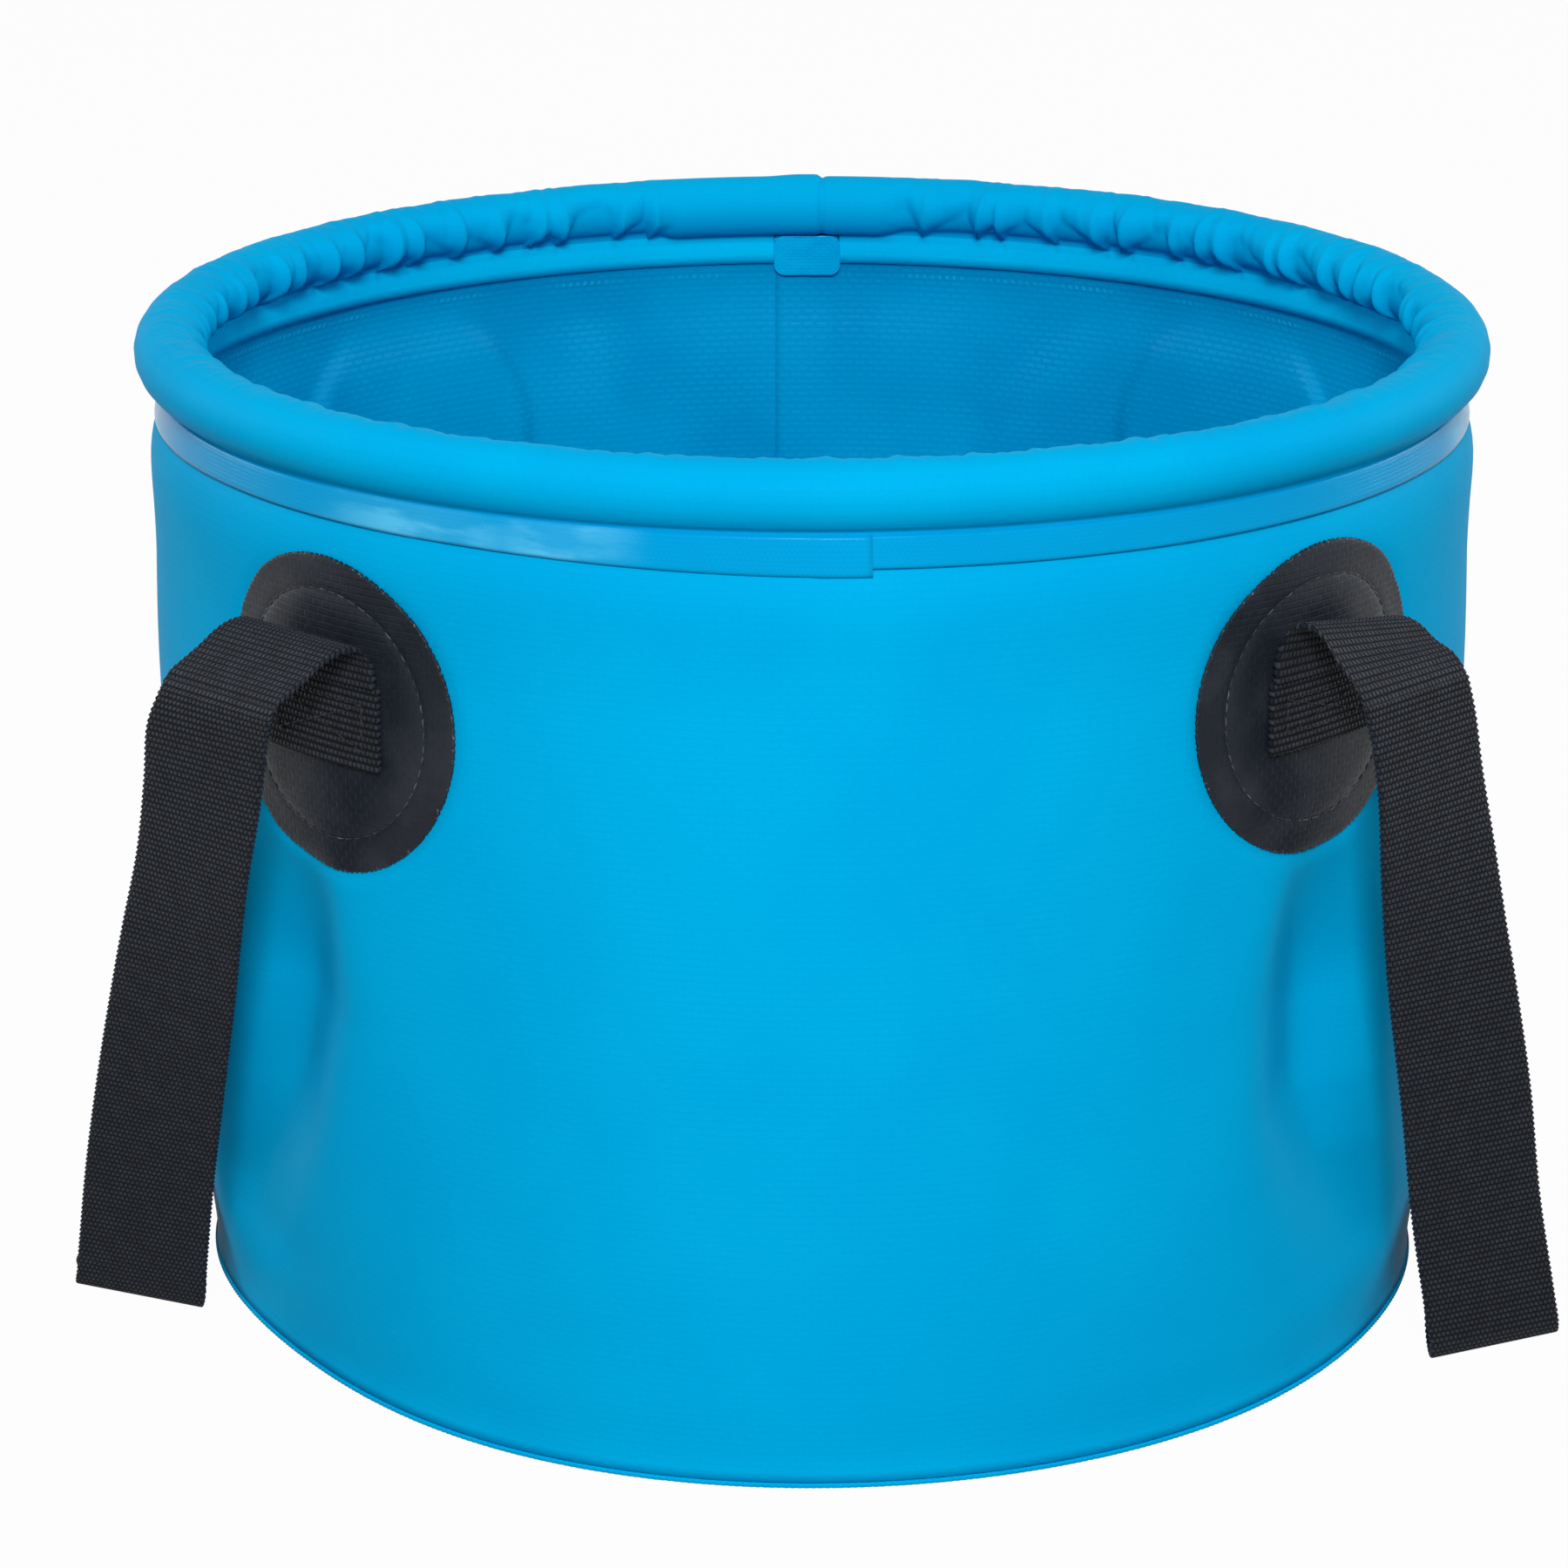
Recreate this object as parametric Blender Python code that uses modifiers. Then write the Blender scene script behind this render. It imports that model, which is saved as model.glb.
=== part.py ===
"""Collapsible camp bucket: a lapped tarpaulin wall and base, a hooped rim, and two webbing side handles.

Lengths are in metres. The origin is the middle of the underside, +Z is up, and -Y is the front.
The bucket stands open with both handles hanging to the floor.
"""
import math

import bmesh
import bpy
from mathutils import Matrix, Vector

# Bucket: the foot's radius and the wall's height carry the other sizes
base_radius = 0.1544
belly_swell = 0.0076
wall_top_swell = 0.0038
wall_top_height = 0.2280
belly_radius = base_radius + belly_swell
wall_top_radius = base_radius + wall_top_swell
sheet_thickness = 0.0006
sheet_gap = 0.0003
ring_steps = 48

# Heights along the wall as shares of its height, and how far it has swelled from base to belly there
wall_height_shares = (0.0, 0.03, 0.09, 0.26, 0.48, 0.70, 0.85)
wall_swell_shares = (0.0, -0.03, 0.16, 0.55, 0.88, 1.0, 0.93)
# Above the belly, how far it has drawn in from belly to top
neck_height_shares = (0.93, 0.965, 1.0)
neck_draw_shares = (0.32, 0.68, 1.0)
wall_row_spacing = 0.0300

# Lap of the wall panel at the back
wall_lap_azimuth = math.radians(180.8)
wall_lap_length = 0.0155
lap_ramp_length = 0.0020
ramp_stops = 3
closest_step_share = 0.02

# Base panel, and the welded edge that shows as a thin lip under the wall
base_panel_thickness = 0.0012
base_welt_height = 0.0014
base_welt_lip = 0.0018
base_welt_rounding = 0.0004

# Rim: a plastic hoop in a fabric sleeve
roll_radius = 0.0080
roll_inset = 0.0012
roll_lift = 0.0004
roll_centre_radius = wall_top_radius - roll_inset
roll_centre_height = wall_top_height + roll_radius + roll_lift
roll_steps = 14
inner_flange_depth = 0.0082
outer_flange_depth = 0.0055
hoop_share = 0.775
hoop_radius = hoop_share * roll_radius
hoop_wall = 0.0018
hoop_sides = 10
hoop_pull_turn = math.radians(45.0)
joiner_insertion = 0.0250
joiner_collar_width = 0.0030
joiner_chamfer = 0.0012
hoop_fit_gap = 0.0003

# Welded tape round the outside under the rim, lapped at the front
rim_tape_width = 0.0092
rim_tape_lap_azimuth = math.radians(2.6)
rim_tape_lap_length = 0.0120

# Tab inside, over the ends of the inner flange
seam_tab_overlap = 0.0006
seam_tab_height = 0.0115
seam_tab_corner = 0.0030

# Handle patches: azimuths of the front ones, and their height as a share of the wall's
patch_azimuth = {"left": math.radians(42.7), "right": math.radians(45.5)}
patch_height_share = 0.774
patch_height = patch_height_share * wall_top_height
patch_radius = 0.0380
patch_thickness = 0.0008
patch_backing_share = 0.75
patch_backing_radius = patch_backing_share * patch_radius
patch_stitch_clearance = 0.0012
patch_stitch_radius = patch_backing_radius + patch_stitch_clearance
patch_steps = 28
thread_radius = 0.00035
thread_sides = 4
box_stitch_inset = 0.0045
box_stitch_points = 6

# Webbing
webbing_width = 0.0370
webbing_thickness = 0.0018
strap_end_drop = 0.0115
strap_end_rise = 0.0085
strap_end_bottom = patch_height - strap_end_drop
pivot_height = patch_height + strap_end_rise
arch_rise = 0.0120
arch_reach = {"left": 0.0345, "right": 0.0295}
arch_outer_radius = {side: belly_radius + reach for side, reach in arch_reach.items()}
arch_steps = 10
webbing_columns = 4

# Hanging handles: where each leg touches the floor, as distances out from the foot of the wall and
# along it, how far the leg bows outwards, and how far the band has turned at the floor
foot_spread = {"left": {"front": 0.0141, "rear": 0.0096}, "right": {"front": 0.0114, "rear": 0.0114}}
foot_reach = {"left": {"front": 0.0463, "rear": 0.0990}, "right": {"front": 0.0763, "rear": 0.0763}}
leg_bow = {"left": 0.0020, "right": 0.0034}
foot_turn = {"left": {"front": 25.4, "rear": 14.0}, "right": {"front": 18.0, "rear": 18.0}}
floor_run_lean = math.radians(45.0)
floor_run_clearance = 0.0030
fold_radius = 0.0060
leg_steps = 12
fold_steps = 6
run_steps = 8
floor_clearance = 0.0003
run_side_share = 1.4
run_lean_share = 1.6

sides = {"left": -1, "right": 1}
ends = {"front": -1, "rear": 1}


def clear_scene():
    for thing in list(bpy.data.objects):
        bpy.data.objects.remove(thing, do_unlink=True)


def make_material(name, color, roughness):
    material = bpy.data.materials.new(name)
    material.use_nodes = True
    shader = material.node_tree.nodes["Principled BSDF"]
    shader.inputs["Base Color"].default_value = (*color, 1.0)
    shader.inputs["Roughness"].default_value = roughness
    shader.inputs["Metallic"].default_value = 0.0
    return material


def make_collection(name):
    collection = bpy.data.collections.new(name)
    bpy.context.scene.collection.children.link(collection)
    return collection


def add_object(name, mesh, collection, material):
    thing = bpy.data.objects.new(name, mesh)
    collection.objects.link(thing)
    if material:
        mesh.materials.append(material)
    return thing


def shade_round(mesh):
    mesh.shade_smooth()
    mesh.set_sharp_from_angle(angle=math.radians(35))


def smooth_step(share):
    share = min(max(share, 0.0), 1.0)
    return share * share * (3 - 2 * share)


def wall_outline():
    """Knots of the wall's outer face as (height, radius), base to top."""
    draw = belly_radius - wall_top_radius
    knots = [
        (share * wall_top_height, base_radius + part * belly_swell)
        for share, part in zip(wall_height_shares, wall_swell_shares)
    ]
    knots += [
        (share * wall_top_height, belly_radius - part * draw)
        for share, part in zip(neck_height_shares, neck_draw_shares)
    ]
    return knots


def wall_radius(height):
    """Outer radius of the wall at a height: a smooth curve through the outline's knots."""
    knots = wall_outline()
    if height <= knots[0][0]:
        return knots[0][1]
    if height >= knots[-1][0]:
        return knots[-1][1]
    slopes = []
    for i in range(len(knots)):
        low = knots[max(i - 1, 0)]
        high = knots[min(i + 1, len(knots) - 1)]
        slopes.append((high[1] - low[1]) / (high[0] - low[0]))
    i = max(k for k in range(len(knots) - 1) if knots[k][0] <= height)
    span = knots[i + 1][0] - knots[i][0]
    t = (height - knots[i][0]) / span
    start = (2 * t**3 - 3 * t**2 + 1) * knots[i][1]
    leave = (t**3 - 2 * t**2 + t) * span * slopes[i]
    finish = (3 * t**2 - 2 * t**3) * knots[i + 1][1]
    arrive = (t**3 - t**2) * span * slopes[i + 1]
    return start + leave + finish + arrive


def around(azimuth, radius, height):
    """A point at an azimuth from the front, counted towards +X."""
    return Vector((radius * math.sin(azimuth), -radius * math.cos(azimuth), height))


def on_ring(azimuth, radius, height):
    """The same on the flats of the turned pieces, whose corners lie at the ring steps."""
    step = math.tau / ring_steps
    off_middle = azimuth % step - step / 2
    return around(azimuth, radius * math.cos(step / 2) / math.cos(off_middle), height)


def on_wall(azimuth, across, up, offset):
    """A point set on the wall: across and up along it from (azimuth, 0), offset outwards."""
    return around(azimuth + across / belly_radius, wall_radius(up) + offset, up)


def face_outwards(bm):
    bmesh.ops.recalc_face_normals(bm, faces=bm.faces)
    if bm.calc_volume(signed=True) < 0:
        bmesh.ops.reverse_faces(bm, faces=bm.faces)


def loft(name, sections, ring=False):
    """A closed body through loops of equal length. A ring joins the last loop to the first."""
    bm = bmesh.new()
    loops = [[bm.verts.new(point) for point in section] for section in sections]
    pairs = list(zip(loops, loops[1:]))
    if ring:
        pairs.append((loops[-1], loops[0]))
    for one, other in pairs:
        for i in range(len(one)):
            j = (i + 1) % len(one)
            bm.faces.new((one[i], one[j], other[j], other[i]))
    if not ring:
        bm.faces.new(loops[0][::-1])
        bm.faces.new(loops[-1])
    face_outwards(bm)
    mesh = bpy.data.meshes.new(name)
    bm.to_mesh(mesh)
    bm.free()
    return mesh


def turned(name, profile, collection, material, closed=True):
    """A Screw modifier turns a profile of (radius, height) points that runs down its outer side."""
    count = len(profile)
    edges = [(i, (i + 1) % count) for i in range(count if closed else count - 1)]
    mesh = bpy.data.meshes.new(name)
    mesh.from_pydata([(radius, 0, height) for radius, height in profile], edges, [])
    thing = add_object(name, mesh, collection, material)
    screw = thing.modifiers.new("turn", "SCREW")
    screw.axis = "Z"
    screw.steps = ring_steps
    screw.render_steps = ring_steps
    screw.use_merge_vertices = True
    screw.merge_threshold = 0.00001
    return thing


def azimuth_steps(low, high, extra):
    """Azimuths of a band from low to high: the shared ring steps, its ends and the extra ones."""
    step = math.tau / ring_steps
    first = math.floor(low / step) + 1
    stops = [low, high] + [a for a in extra if low < a < high]
    for i in range(first, math.ceil(high / step)):
        stops.append(i * step)
    stops.sort()
    kept = [stops[0]]
    for stop in stops[1:]:
        if stop - kept[-1] > step * closest_step_share:
            kept.append(stop)
        elif stop == high:
            kept[-1] = high
    return kept


def lapped_band(name, lap_azimuth, lap_length, heights, offset, thickness, step_inwards):
    """A band round the bucket whose far end lies a sheet over (or under) its near end."""
    lap_step = thickness + sheet_gap
    half = lap_length / 2 / belly_radius
    ramp = lap_ramp_length / belly_radius
    sections = []
    ramp_start = lap_azimuth + math.tau - half - ramp
    extra = [ramp_start + ramp * share for share in spread(0.0, 1.0, ramp_stops)]
    for azimuth in azimuth_steps(lap_azimuth - half, lap_azimuth + math.tau + half, extra):
        rise = lap_step * smooth_step((azimuth - ramp_start) / ramp)
        if step_inwards:
            rise = -rise
        outer = [on_ring(azimuth, wall_radius(h) + offset + rise, h) for h in heights]
        inner = [on_ring(azimuth, wall_radius(h) + offset + rise - thickness, h) for h in heights]
        sections.append(outer + inner[::-1])
    return loft(name, sections)


def spread(low, high, count):
    return [low + (high - low) * i / count for i in range(count + 1)]


def make_wall_panel(collection, material):
    knots = [height for height, radius in wall_outline()]
    knots[0] = base_welt_height + sheet_gap
    heights = [knots[0]]
    for low, high in zip(knots, knots[1:]):
        heights += spread(low, high, math.ceil((high - low) / wall_row_spacing))[1:]
    mesh = lapped_band(
        "wall_panel", wall_lap_azimuth, wall_lap_length, heights, 0.0, sheet_thickness, True
    )
    shade_round(mesh)
    return add_object("wall_panel", mesh, collection, material)


def make_base_panel(collection, material):
    """A flat disc inside the welded edge."""
    outer = base_radius - sheet_thickness - sheet_gap
    profile = [(0.0, base_panel_thickness), (outer, base_panel_thickness), (outer, 0.0), (0.0, 0.0)]
    return turned("base_panel", profile, collection, material, closed=False)


def make_base_welt(collection, material):
    """The welded edge of wall and base, standing out as a lip."""
    inner = base_radius - sheet_thickness
    outer = base_radius + base_welt_lip
    profile = [
        (inner, base_welt_height),
        (outer - base_welt_rounding, base_welt_height),
        (outer, base_welt_height - base_welt_rounding),
        (outer, base_welt_rounding),
        (outer - base_welt_rounding, 0.0),
        (inner, 0.0),
    ]
    return turned("base_welt", profile, collection, material)


def sleeve_profile():
    """Section of the rim sleeve: inner flange, once round the hoop, outer flange."""
    half = sheet_thickness / 2
    arc_radius = roll_radius - half
    inner_mid = sheet_thickness + sheet_gap + half
    outer_mid = sheet_gap + half
    join_height = roll_centre_height - roll_radius
    start = math.asin((wall_radius(join_height) - inner_mid - roll_centre_radius) / arc_radius)
    finish = math.asin((wall_radius(join_height) + outer_mid - roll_centre_radius) / arc_radius)
    sweep = math.tau - (finish - start)

    def on_roll(radius, share):
        turn = start - sweep * share
        return (
            roll_centre_radius + radius * math.sin(turn),
            roll_centre_height - radius * math.cos(turn),
        )

    shares = [i / roll_steps for i in range(roll_steps + 1)]
    inner_low = join_height - inner_flange_depth
    outer_low = join_height - outer_flange_depth

    def inner_flange(height, face):
        return (wall_radius(height) - inner_mid + face, height)

    def outer_flange(height, face):
        return (wall_radius(height) + outer_mid + face, height)

    skin = [inner_flange(inner_low, -half)]
    skin += [on_roll(roll_radius, share) for share in shares]
    skin += [outer_flange(outer_low, half)]
    lining = [outer_flange(outer_low, -half)]
    lining += [on_roll(roll_radius - sheet_thickness, share) for share in reversed(shares)]
    lining += [inner_flange(inner_low, half)]
    return skin + lining


def seam_middle():
    """Azimuth of the middle of the lap and its ramp."""
    return wall_lap_azimuth - lap_ramp_length / 2 / belly_radius


def make_rim_sleeve(collection, cutters, material):
    sleeve = turned("rim_sleeve", sleeve_profile(), collection, material)
    top = roll_centre_height - roll_radius
    bottom = top - inner_flange_depth - sheet_gap
    half = (wall_lap_length + lap_ramp_length) / 2 / belly_radius + sheet_gap / belly_radius
    outside = -sheet_thickness - sheet_gap / 2
    inside = outside - 2 * sheet_thickness
    sections = []
    for azimuth in azimuth_steps(seam_middle() - half, seam_middle() + half, []):
        corners = ((bottom, outside), (top, outside), (top, inside), (bottom, inside))
        sections.append([on_ring(azimuth, wall_radius(h) + face, h) for h, face in corners])
    cutter = add_object("flange_notch", loft("flange_notch", sections), cutters, None)
    cutter.hide_render = True
    cutter.display_type = "WIRE"
    cut = sleeve.modifiers.new("notch", "BOOLEAN")
    cut.operation = "DIFFERENCE"
    cut.solver = "EXACT"
    cut.object = cutter
    return sleeve


def make_rim_tape(collection, material):
    join_height = roll_centre_height - roll_radius
    offset = 2 * (sheet_gap + sheet_thickness)
    heights = spread(join_height - rim_tape_width, join_height, 3)
    mesh = lapped_band(
        "rim_tape",
        rim_tape_lap_azimuth,
        rim_tape_lap_length,
        heights,
        offset,
        sheet_thickness,
        False,
    )
    shade_round(mesh)
    return add_object("rim_tape", mesh, collection, material)


def hoop_point(azimuth, radius, turn):
    """A point about the hoop's own middle: the wall's pull draws the hoop out and up in its sleeve."""
    inside = (roll_radius - sheet_thickness) * math.cos(math.pi / roll_steps)
    shift = inside - hoop_fit_gap - hoop_radius
    return on_ring(
        azimuth,
        roll_centre_radius + shift * math.sin(hoop_pull_turn) + radius * math.sin(turn),
        roll_centre_height + shift * math.cos(hoop_pull_turn) + radius * math.cos(turn),
    )


def make_rim_hoop(collection, material):
    """A hollow plastic tube bent to a hoop, open at both ends where the joiner goes in."""
    bore = hoop_radius - hoop_wall
    gap = (joiner_collar_width / 2 + hoop_fit_gap) / roll_centre_radius
    stops = azimuth_steps(wall_lap_azimuth + gap, wall_lap_azimuth + math.tau - gap, [])
    sections = []
    for side in range(hoop_sides):
        turn = math.tau * side / hoop_sides
        skin = [hoop_point(azimuth, hoop_radius, turn) for azimuth in stops]
        lining = [hoop_point(azimuth, bore, turn) for azimuth in stops]
        sections.append(skin + lining[::-1])
    mesh = loft("rim_hoop", sections, ring=True)
    shade_round(mesh)
    return add_object("rim_hoop", mesh, collection, material)


def make_hoop_joiner(collection, material):
    """A plug in both ends of the hoop, with a collar between them."""
    plug = hoop_radius - hoop_wall - 2 * hoop_fit_gap
    half_collar = joiner_collar_width / 2
    reach = half_collar + joiner_insertion
    stations = [
        (-reach, plug - joiner_chamfer),
        (-reach + joiner_chamfer, plug),
        (-reach / 2, plug),
        (-half_collar, plug),
        (-half_collar, hoop_radius),
        (half_collar, hoop_radius),
        (half_collar, plug),
        (reach / 2, plug),
        (reach - joiner_chamfer, plug),
        (reach, plug - joiner_chamfer),
    ]
    sections = []
    for along, radius in stations:
        azimuth = wall_lap_azimuth + along / roll_centre_radius
        turns = [math.tau * side / hoop_sides for side in range(hoop_sides)]
        sections.append([hoop_point(azimuth, radius, turn) for turn in turns])
    mesh = loft("hoop_joiner", sections)
    shade_round(mesh)
    return add_object("hoop_joiner", mesh, collection, material)


def make_seam_tab(collection, material):
    """A small rounded patch welded over the ends of the inner flange."""
    top = roll_centre_height - roll_radius - sheet_gap
    outside = -2 * (sheet_thickness + sheet_gap)
    sections = []
    half_width = (wall_lap_length + lap_ramp_length) / 2 + sheet_gap + seam_tab_overlap
    stops = [-half_width, -half_width + seam_tab_corner / 3, -half_width + seam_tab_corner, 0.0]
    stops += [half_width - seam_tab_corner, half_width - seam_tab_corner / 3, half_width]
    for across in stops:
        past = max(abs(across) - (half_width - seam_tab_corner), 0.0)
        cut = seam_tab_corner - math.sqrt(seam_tab_corner**2 - past**2)
        low = top - seam_tab_height + cut
        high = top - cut
        middle = (low + high) / 2
        azimuth = seam_middle() + across / belly_radius
        levels = (low, middle, high)
        face = [on_ring(azimuth, wall_radius(h) + outside, h) for h in levels]
        back = [on_ring(azimuth, wall_radius(h) + outside - sheet_thickness, h) for h in levels]
        sections.append(face + back[::-1])
    mesh = loft("seam_tab", sections)
    return add_object("seam_tab", mesh, collection, material)


def wrapped_disc(name, azimuth, profile):
    """A disc turned from (radius, offset) points and laid round the wall at the patch's height."""
    bm = bmesh.new()
    verts = [bm.verts.new((radius, 0, offset)) for radius, offset in profile]
    edges = [bm.edges.new(pair) for pair in zip(verts, verts[1:])]
    bmesh.ops.spin(
        bm,
        geom=verts + edges,
        cent=(0, 0, 0),
        axis=(0, 0, 1),
        angle=math.tau,
        steps=patch_steps,
        use_merge=True,
    )
    bmesh.ops.remove_doubles(bm, verts=bm.verts, dist=0.00001)
    for vert in bm.verts:
        across, up, offset = vert.co
        vert.co = on_wall(azimuth, across, patch_height + up, offset)
    face_outwards(bm)
    mesh = bpy.data.meshes.new(name)
    bm.to_mesh(mesh)
    bm.free()
    return mesh


def patch_face_offset():
    """Offset of the patch's outer face over its backing."""
    return 2 * (sheet_gap + patch_thickness)


def make_patch(prefix, azimuth, collection, materials):
    low = sheet_gap
    raised = low + patch_thickness + sheet_gap
    backing = [
        (0.0, low + patch_thickness),
        (patch_backing_radius / 2, low + patch_thickness),
        (patch_backing_radius, low + patch_thickness),
        (patch_backing_radius, low),
        (patch_backing_radius / 2, low),
        (0.0, low),
    ]
    name = prefix + "_patch_backing"
    add_object(name, wrapped_disc(name, azimuth, backing), collection, materials["patch"])
    shoulder = patch_backing_radius + sheet_gap
    disc = [
        (0.0, raised + patch_thickness),
        (patch_backing_radius / 2, raised + patch_thickness),
        (shoulder, raised + patch_thickness),
        (patch_stitch_radius + thread_radius + sheet_gap, low + patch_thickness),
        (patch_radius, low + patch_thickness),
        (patch_radius, low),
        (patch_stitch_radius, low),
        (shoulder, raised),
        (patch_backing_radius / 2, raised),
        (0.0, raised),
    ]
    name = prefix + "_patch_disc"
    add_object(name, wrapped_disc(name, azimuth, disc), collection, materials["patch"])
    name = prefix + "_patch_stitching"
    centre = patch_stitch_radius + 2 * thread_radius + 2 * sheet_gap
    offset = low + patch_thickness + sheet_gap + thread_radius
    path = []
    for i in range(patch_steps):
        turn = math.tau * i / patch_steps
        path.append((centre * math.cos(turn), centre * math.sin(turn)))
    mesh = thread_ring(name, azimuth, path, patch_height, offset)
    add_object(name, mesh, collection, materials["thread"])


def thread_ring(name, azimuth, path, height, offset):
    """One closed run of thread along a path of (across, up) points on the wall."""
    sections = []
    count = len(path)
    for i, (across, up) in enumerate(path):
        before = path[i - 1]
        after = path[(i + 1) % count]
        along = Vector((after[0] - before[0], after[1] - before[1])).normalized()
        side = Vector((along.y, -along.x))
        section = []
        for k in range(thread_sides):
            turn = math.tau * (k + 0.5) / thread_sides
            out = thread_radius * math.cos(turn)
            lift = thread_radius * math.sin(turn)
            point = on_wall(azimuth, across + side.x * out, height + up + side.y * out, offset + lift)
            section.append(point)
        sections.append(section)
    return loft(name, sections, ring=True)


def strap_end_offset():
    """Offset of the sewn webbing's middle from the wall's outer face."""
    return patch_face_offset() + sheet_gap + webbing_thickness / 2


def make_strap_end(prefix, azimuth, collection, materials):
    """The webbing's end lies flat on the patch, held by a box of stitches."""
    name = prefix + "_strap_end"
    half = webbing_width / 2
    outside = strap_end_offset() + webbing_thickness / 2
    inside = strap_end_offset() - webbing_thickness / 2
    across = spread(-half, half, webbing_columns)
    sections = []
    for height in spread(strap_end_bottom, pivot_height - sheet_gap, 2):
        face = [on_wall(azimuth, a, height, outside) for a in across]
        back = [on_wall(azimuth, a, height, inside) for a in reversed(across)]
        sections.append(face + back)
    add_object(name, loft(name, sections), collection, materials["webbing"])
    name = prefix + "_strap_stitching"
    reach = half - box_stitch_inset
    low = strap_end_bottom + box_stitch_inset
    high = pivot_height - box_stitch_inset
    rows = spread(low, high, box_stitch_points // 2)
    columns = spread(-reach, reach, box_stitch_points)
    path = [(a, low) for a in columns] + [(reach, h) for h in rows[1:]]
    path += [(a, high) for a in reversed(columns[:-1])] + [(-reach, h) for h in reversed(rows[1:-1])]
    offset = outside + sheet_gap + thread_radius
    mesh = thread_ring(name, azimuth, path, 0.0, offset)
    add_object(name, mesh, collection, materials["thread"])


def arch_inner_radius():
    return wall_radius(pivot_height) + strap_end_offset()


def band_section(centre, width_way, along):
    """Four corners of the webbing, square to the way that it runs."""
    face_way = along.cross(width_way).normalized()
    half_width = width_way * (webbing_width / 2)
    half_face = face_way * (webbing_thickness / 2)
    return [
        centre - half_width - half_face,
        centre + half_width - half_face,
        centre + half_width + half_face,
        centre - half_width + half_face,
    ]


def make_strap_arch(prefix, side, azimuth, collection, materials):
    """The free bend of the webbing, from the sewn end out and over to the hanging leg."""
    name = prefix + "_strap_arch"
    inner = arch_inner_radius()
    middle = (inner + arch_outer_radius[side]) / 2
    reach = (arch_outer_radius[side] - inner) / 2
    width_way = Vector((math.cos(azimuth), math.sin(azimuth), 0.0))
    sections = []
    for i in range(arch_steps + 1):
        turn = math.pi * i / arch_steps
        centre = around(azimuth, middle - reach * math.cos(turn), pivot_height)
        centre.z += arch_rise * math.sin(turn)
        ahead = around(azimuth, reach * math.sin(turn), 0.0)
        ahead.z = arch_rise * math.cos(turn)
        sections.append(band_section(centre, width_way, ahead.normalized()))
    add_object(name, loft(name, sections), collection, materials["webbing"])


def floor_run_side():
    """How far out the middle of the floor run lies, leaning on the foot of the wall."""
    lean_reach = webbing_width / 2 * math.cos(floor_run_lean)
    lean_face = webbing_thickness / 2 * math.sin(floor_run_lean)
    top = webbing_width * math.sin(floor_run_lean) + webbing_thickness
    return wall_radius(top) + floor_run_clearance + lean_reach + lean_face


def half_handle(side, end):
    """One half of a hanging handle as (centre, width direction), from its arch to the middle."""
    sign = sides[side]
    way = ends[end]
    reach = way * foot_reach[side][end]
    azimuth = patch_azimuth[side]
    top = around(sign * azimuth, arch_outer_radius[side], pivot_height - sheet_gap)
    top.y = way * abs(top.y)
    foot_side = base_radius + foot_spread[side][end]
    foot = Vector((sign * foot_side, reach, webbing_thickness / 2 + floor_clearance))
    middle = Vector((sign * floor_run_side(), 0.0, 0.0))
    leg_way = (foot - top).normalized()

    def level(turn):
        return Vector((-sign * math.cos(turn), way * math.sin(turn), 0.0))

    def leaning(share):
        lean = Vector((-sign * math.cos(floor_run_lean), 0.0, math.sin(floor_run_lean)))
        foot_way = level(math.radians(foot_turn[side][end]))
        return foot_way.lerp(lean, smooth_step(share)).normalized()

    stations = []
    leg_end = foot - leg_way * fold_radius
    for share in spread(0.0, 1.0, leg_steps):
        turn = azimuth + (math.radians(foot_turn[side][end]) - azimuth) * share
        centre = top.lerp(leg_end, share)
        centre.x += sign * leg_bow[side] * math.sin(math.pi * share)
        stations.append((centre, level(turn)))
    run_start = foot - Vector((0.0, way * fold_radius, 0.0))
    for share in spread(0.0, 1.0, fold_steps)[1:-1]:
        first = leg_end.lerp(foot, share)
        second = foot.lerp(run_start, share)
        stations.append((first.lerp(second, share), level(math.radians(foot_turn[side][end]))))
    for share in spread(0.0, 1.0, run_steps):
        centre = run_start.lerp(middle, share)
        width_way = leaning(run_lean_share * share)
        centre.x = run_start.x + (middle.x - run_start.x) * smooth_step(run_side_share * share)
        centre.z = webbing_width / 2 * width_way.z + webbing_thickness / 2 + floor_clearance
        stations.append((centre, width_way))
    return stations


def handle_pivot(side):
    """Where a handle turns: level with the arches, between their two legs."""
    middle = (arch_inner_radius() + arch_outer_radius[side]) / 2
    return Vector((sides[side] * middle * math.sin(patch_azimuth[side]), 0.0, pivot_height))


def make_handle(side, collection, material):
    """One length of webbing from the front arch down, along the floor and up to the rear arch."""
    stations = half_handle(side, "front") + half_handle(side, "rear")[-2::-1]
    last = len(stations) - 1
    sections = []
    for i, (centre, width_way) in enumerate(stations):
        if i in (0, last):
            along = Vector((0.0, 0.0, -1.0 if i == 0 else 1.0))
        else:
            along = (stations[i + 1][0] - stations[i - 1][0]).normalized()
        sections.append(band_section(centre, width_way, along))
    name = side + "_handle_strap"
    mesh = loft(name, sections)
    pivot = handle_pivot(side)
    mesh.transform(Matrix.Translation(-pivot))
    thing = add_object(name, mesh, collection, material)
    thing.location = pivot
    return thing


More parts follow.
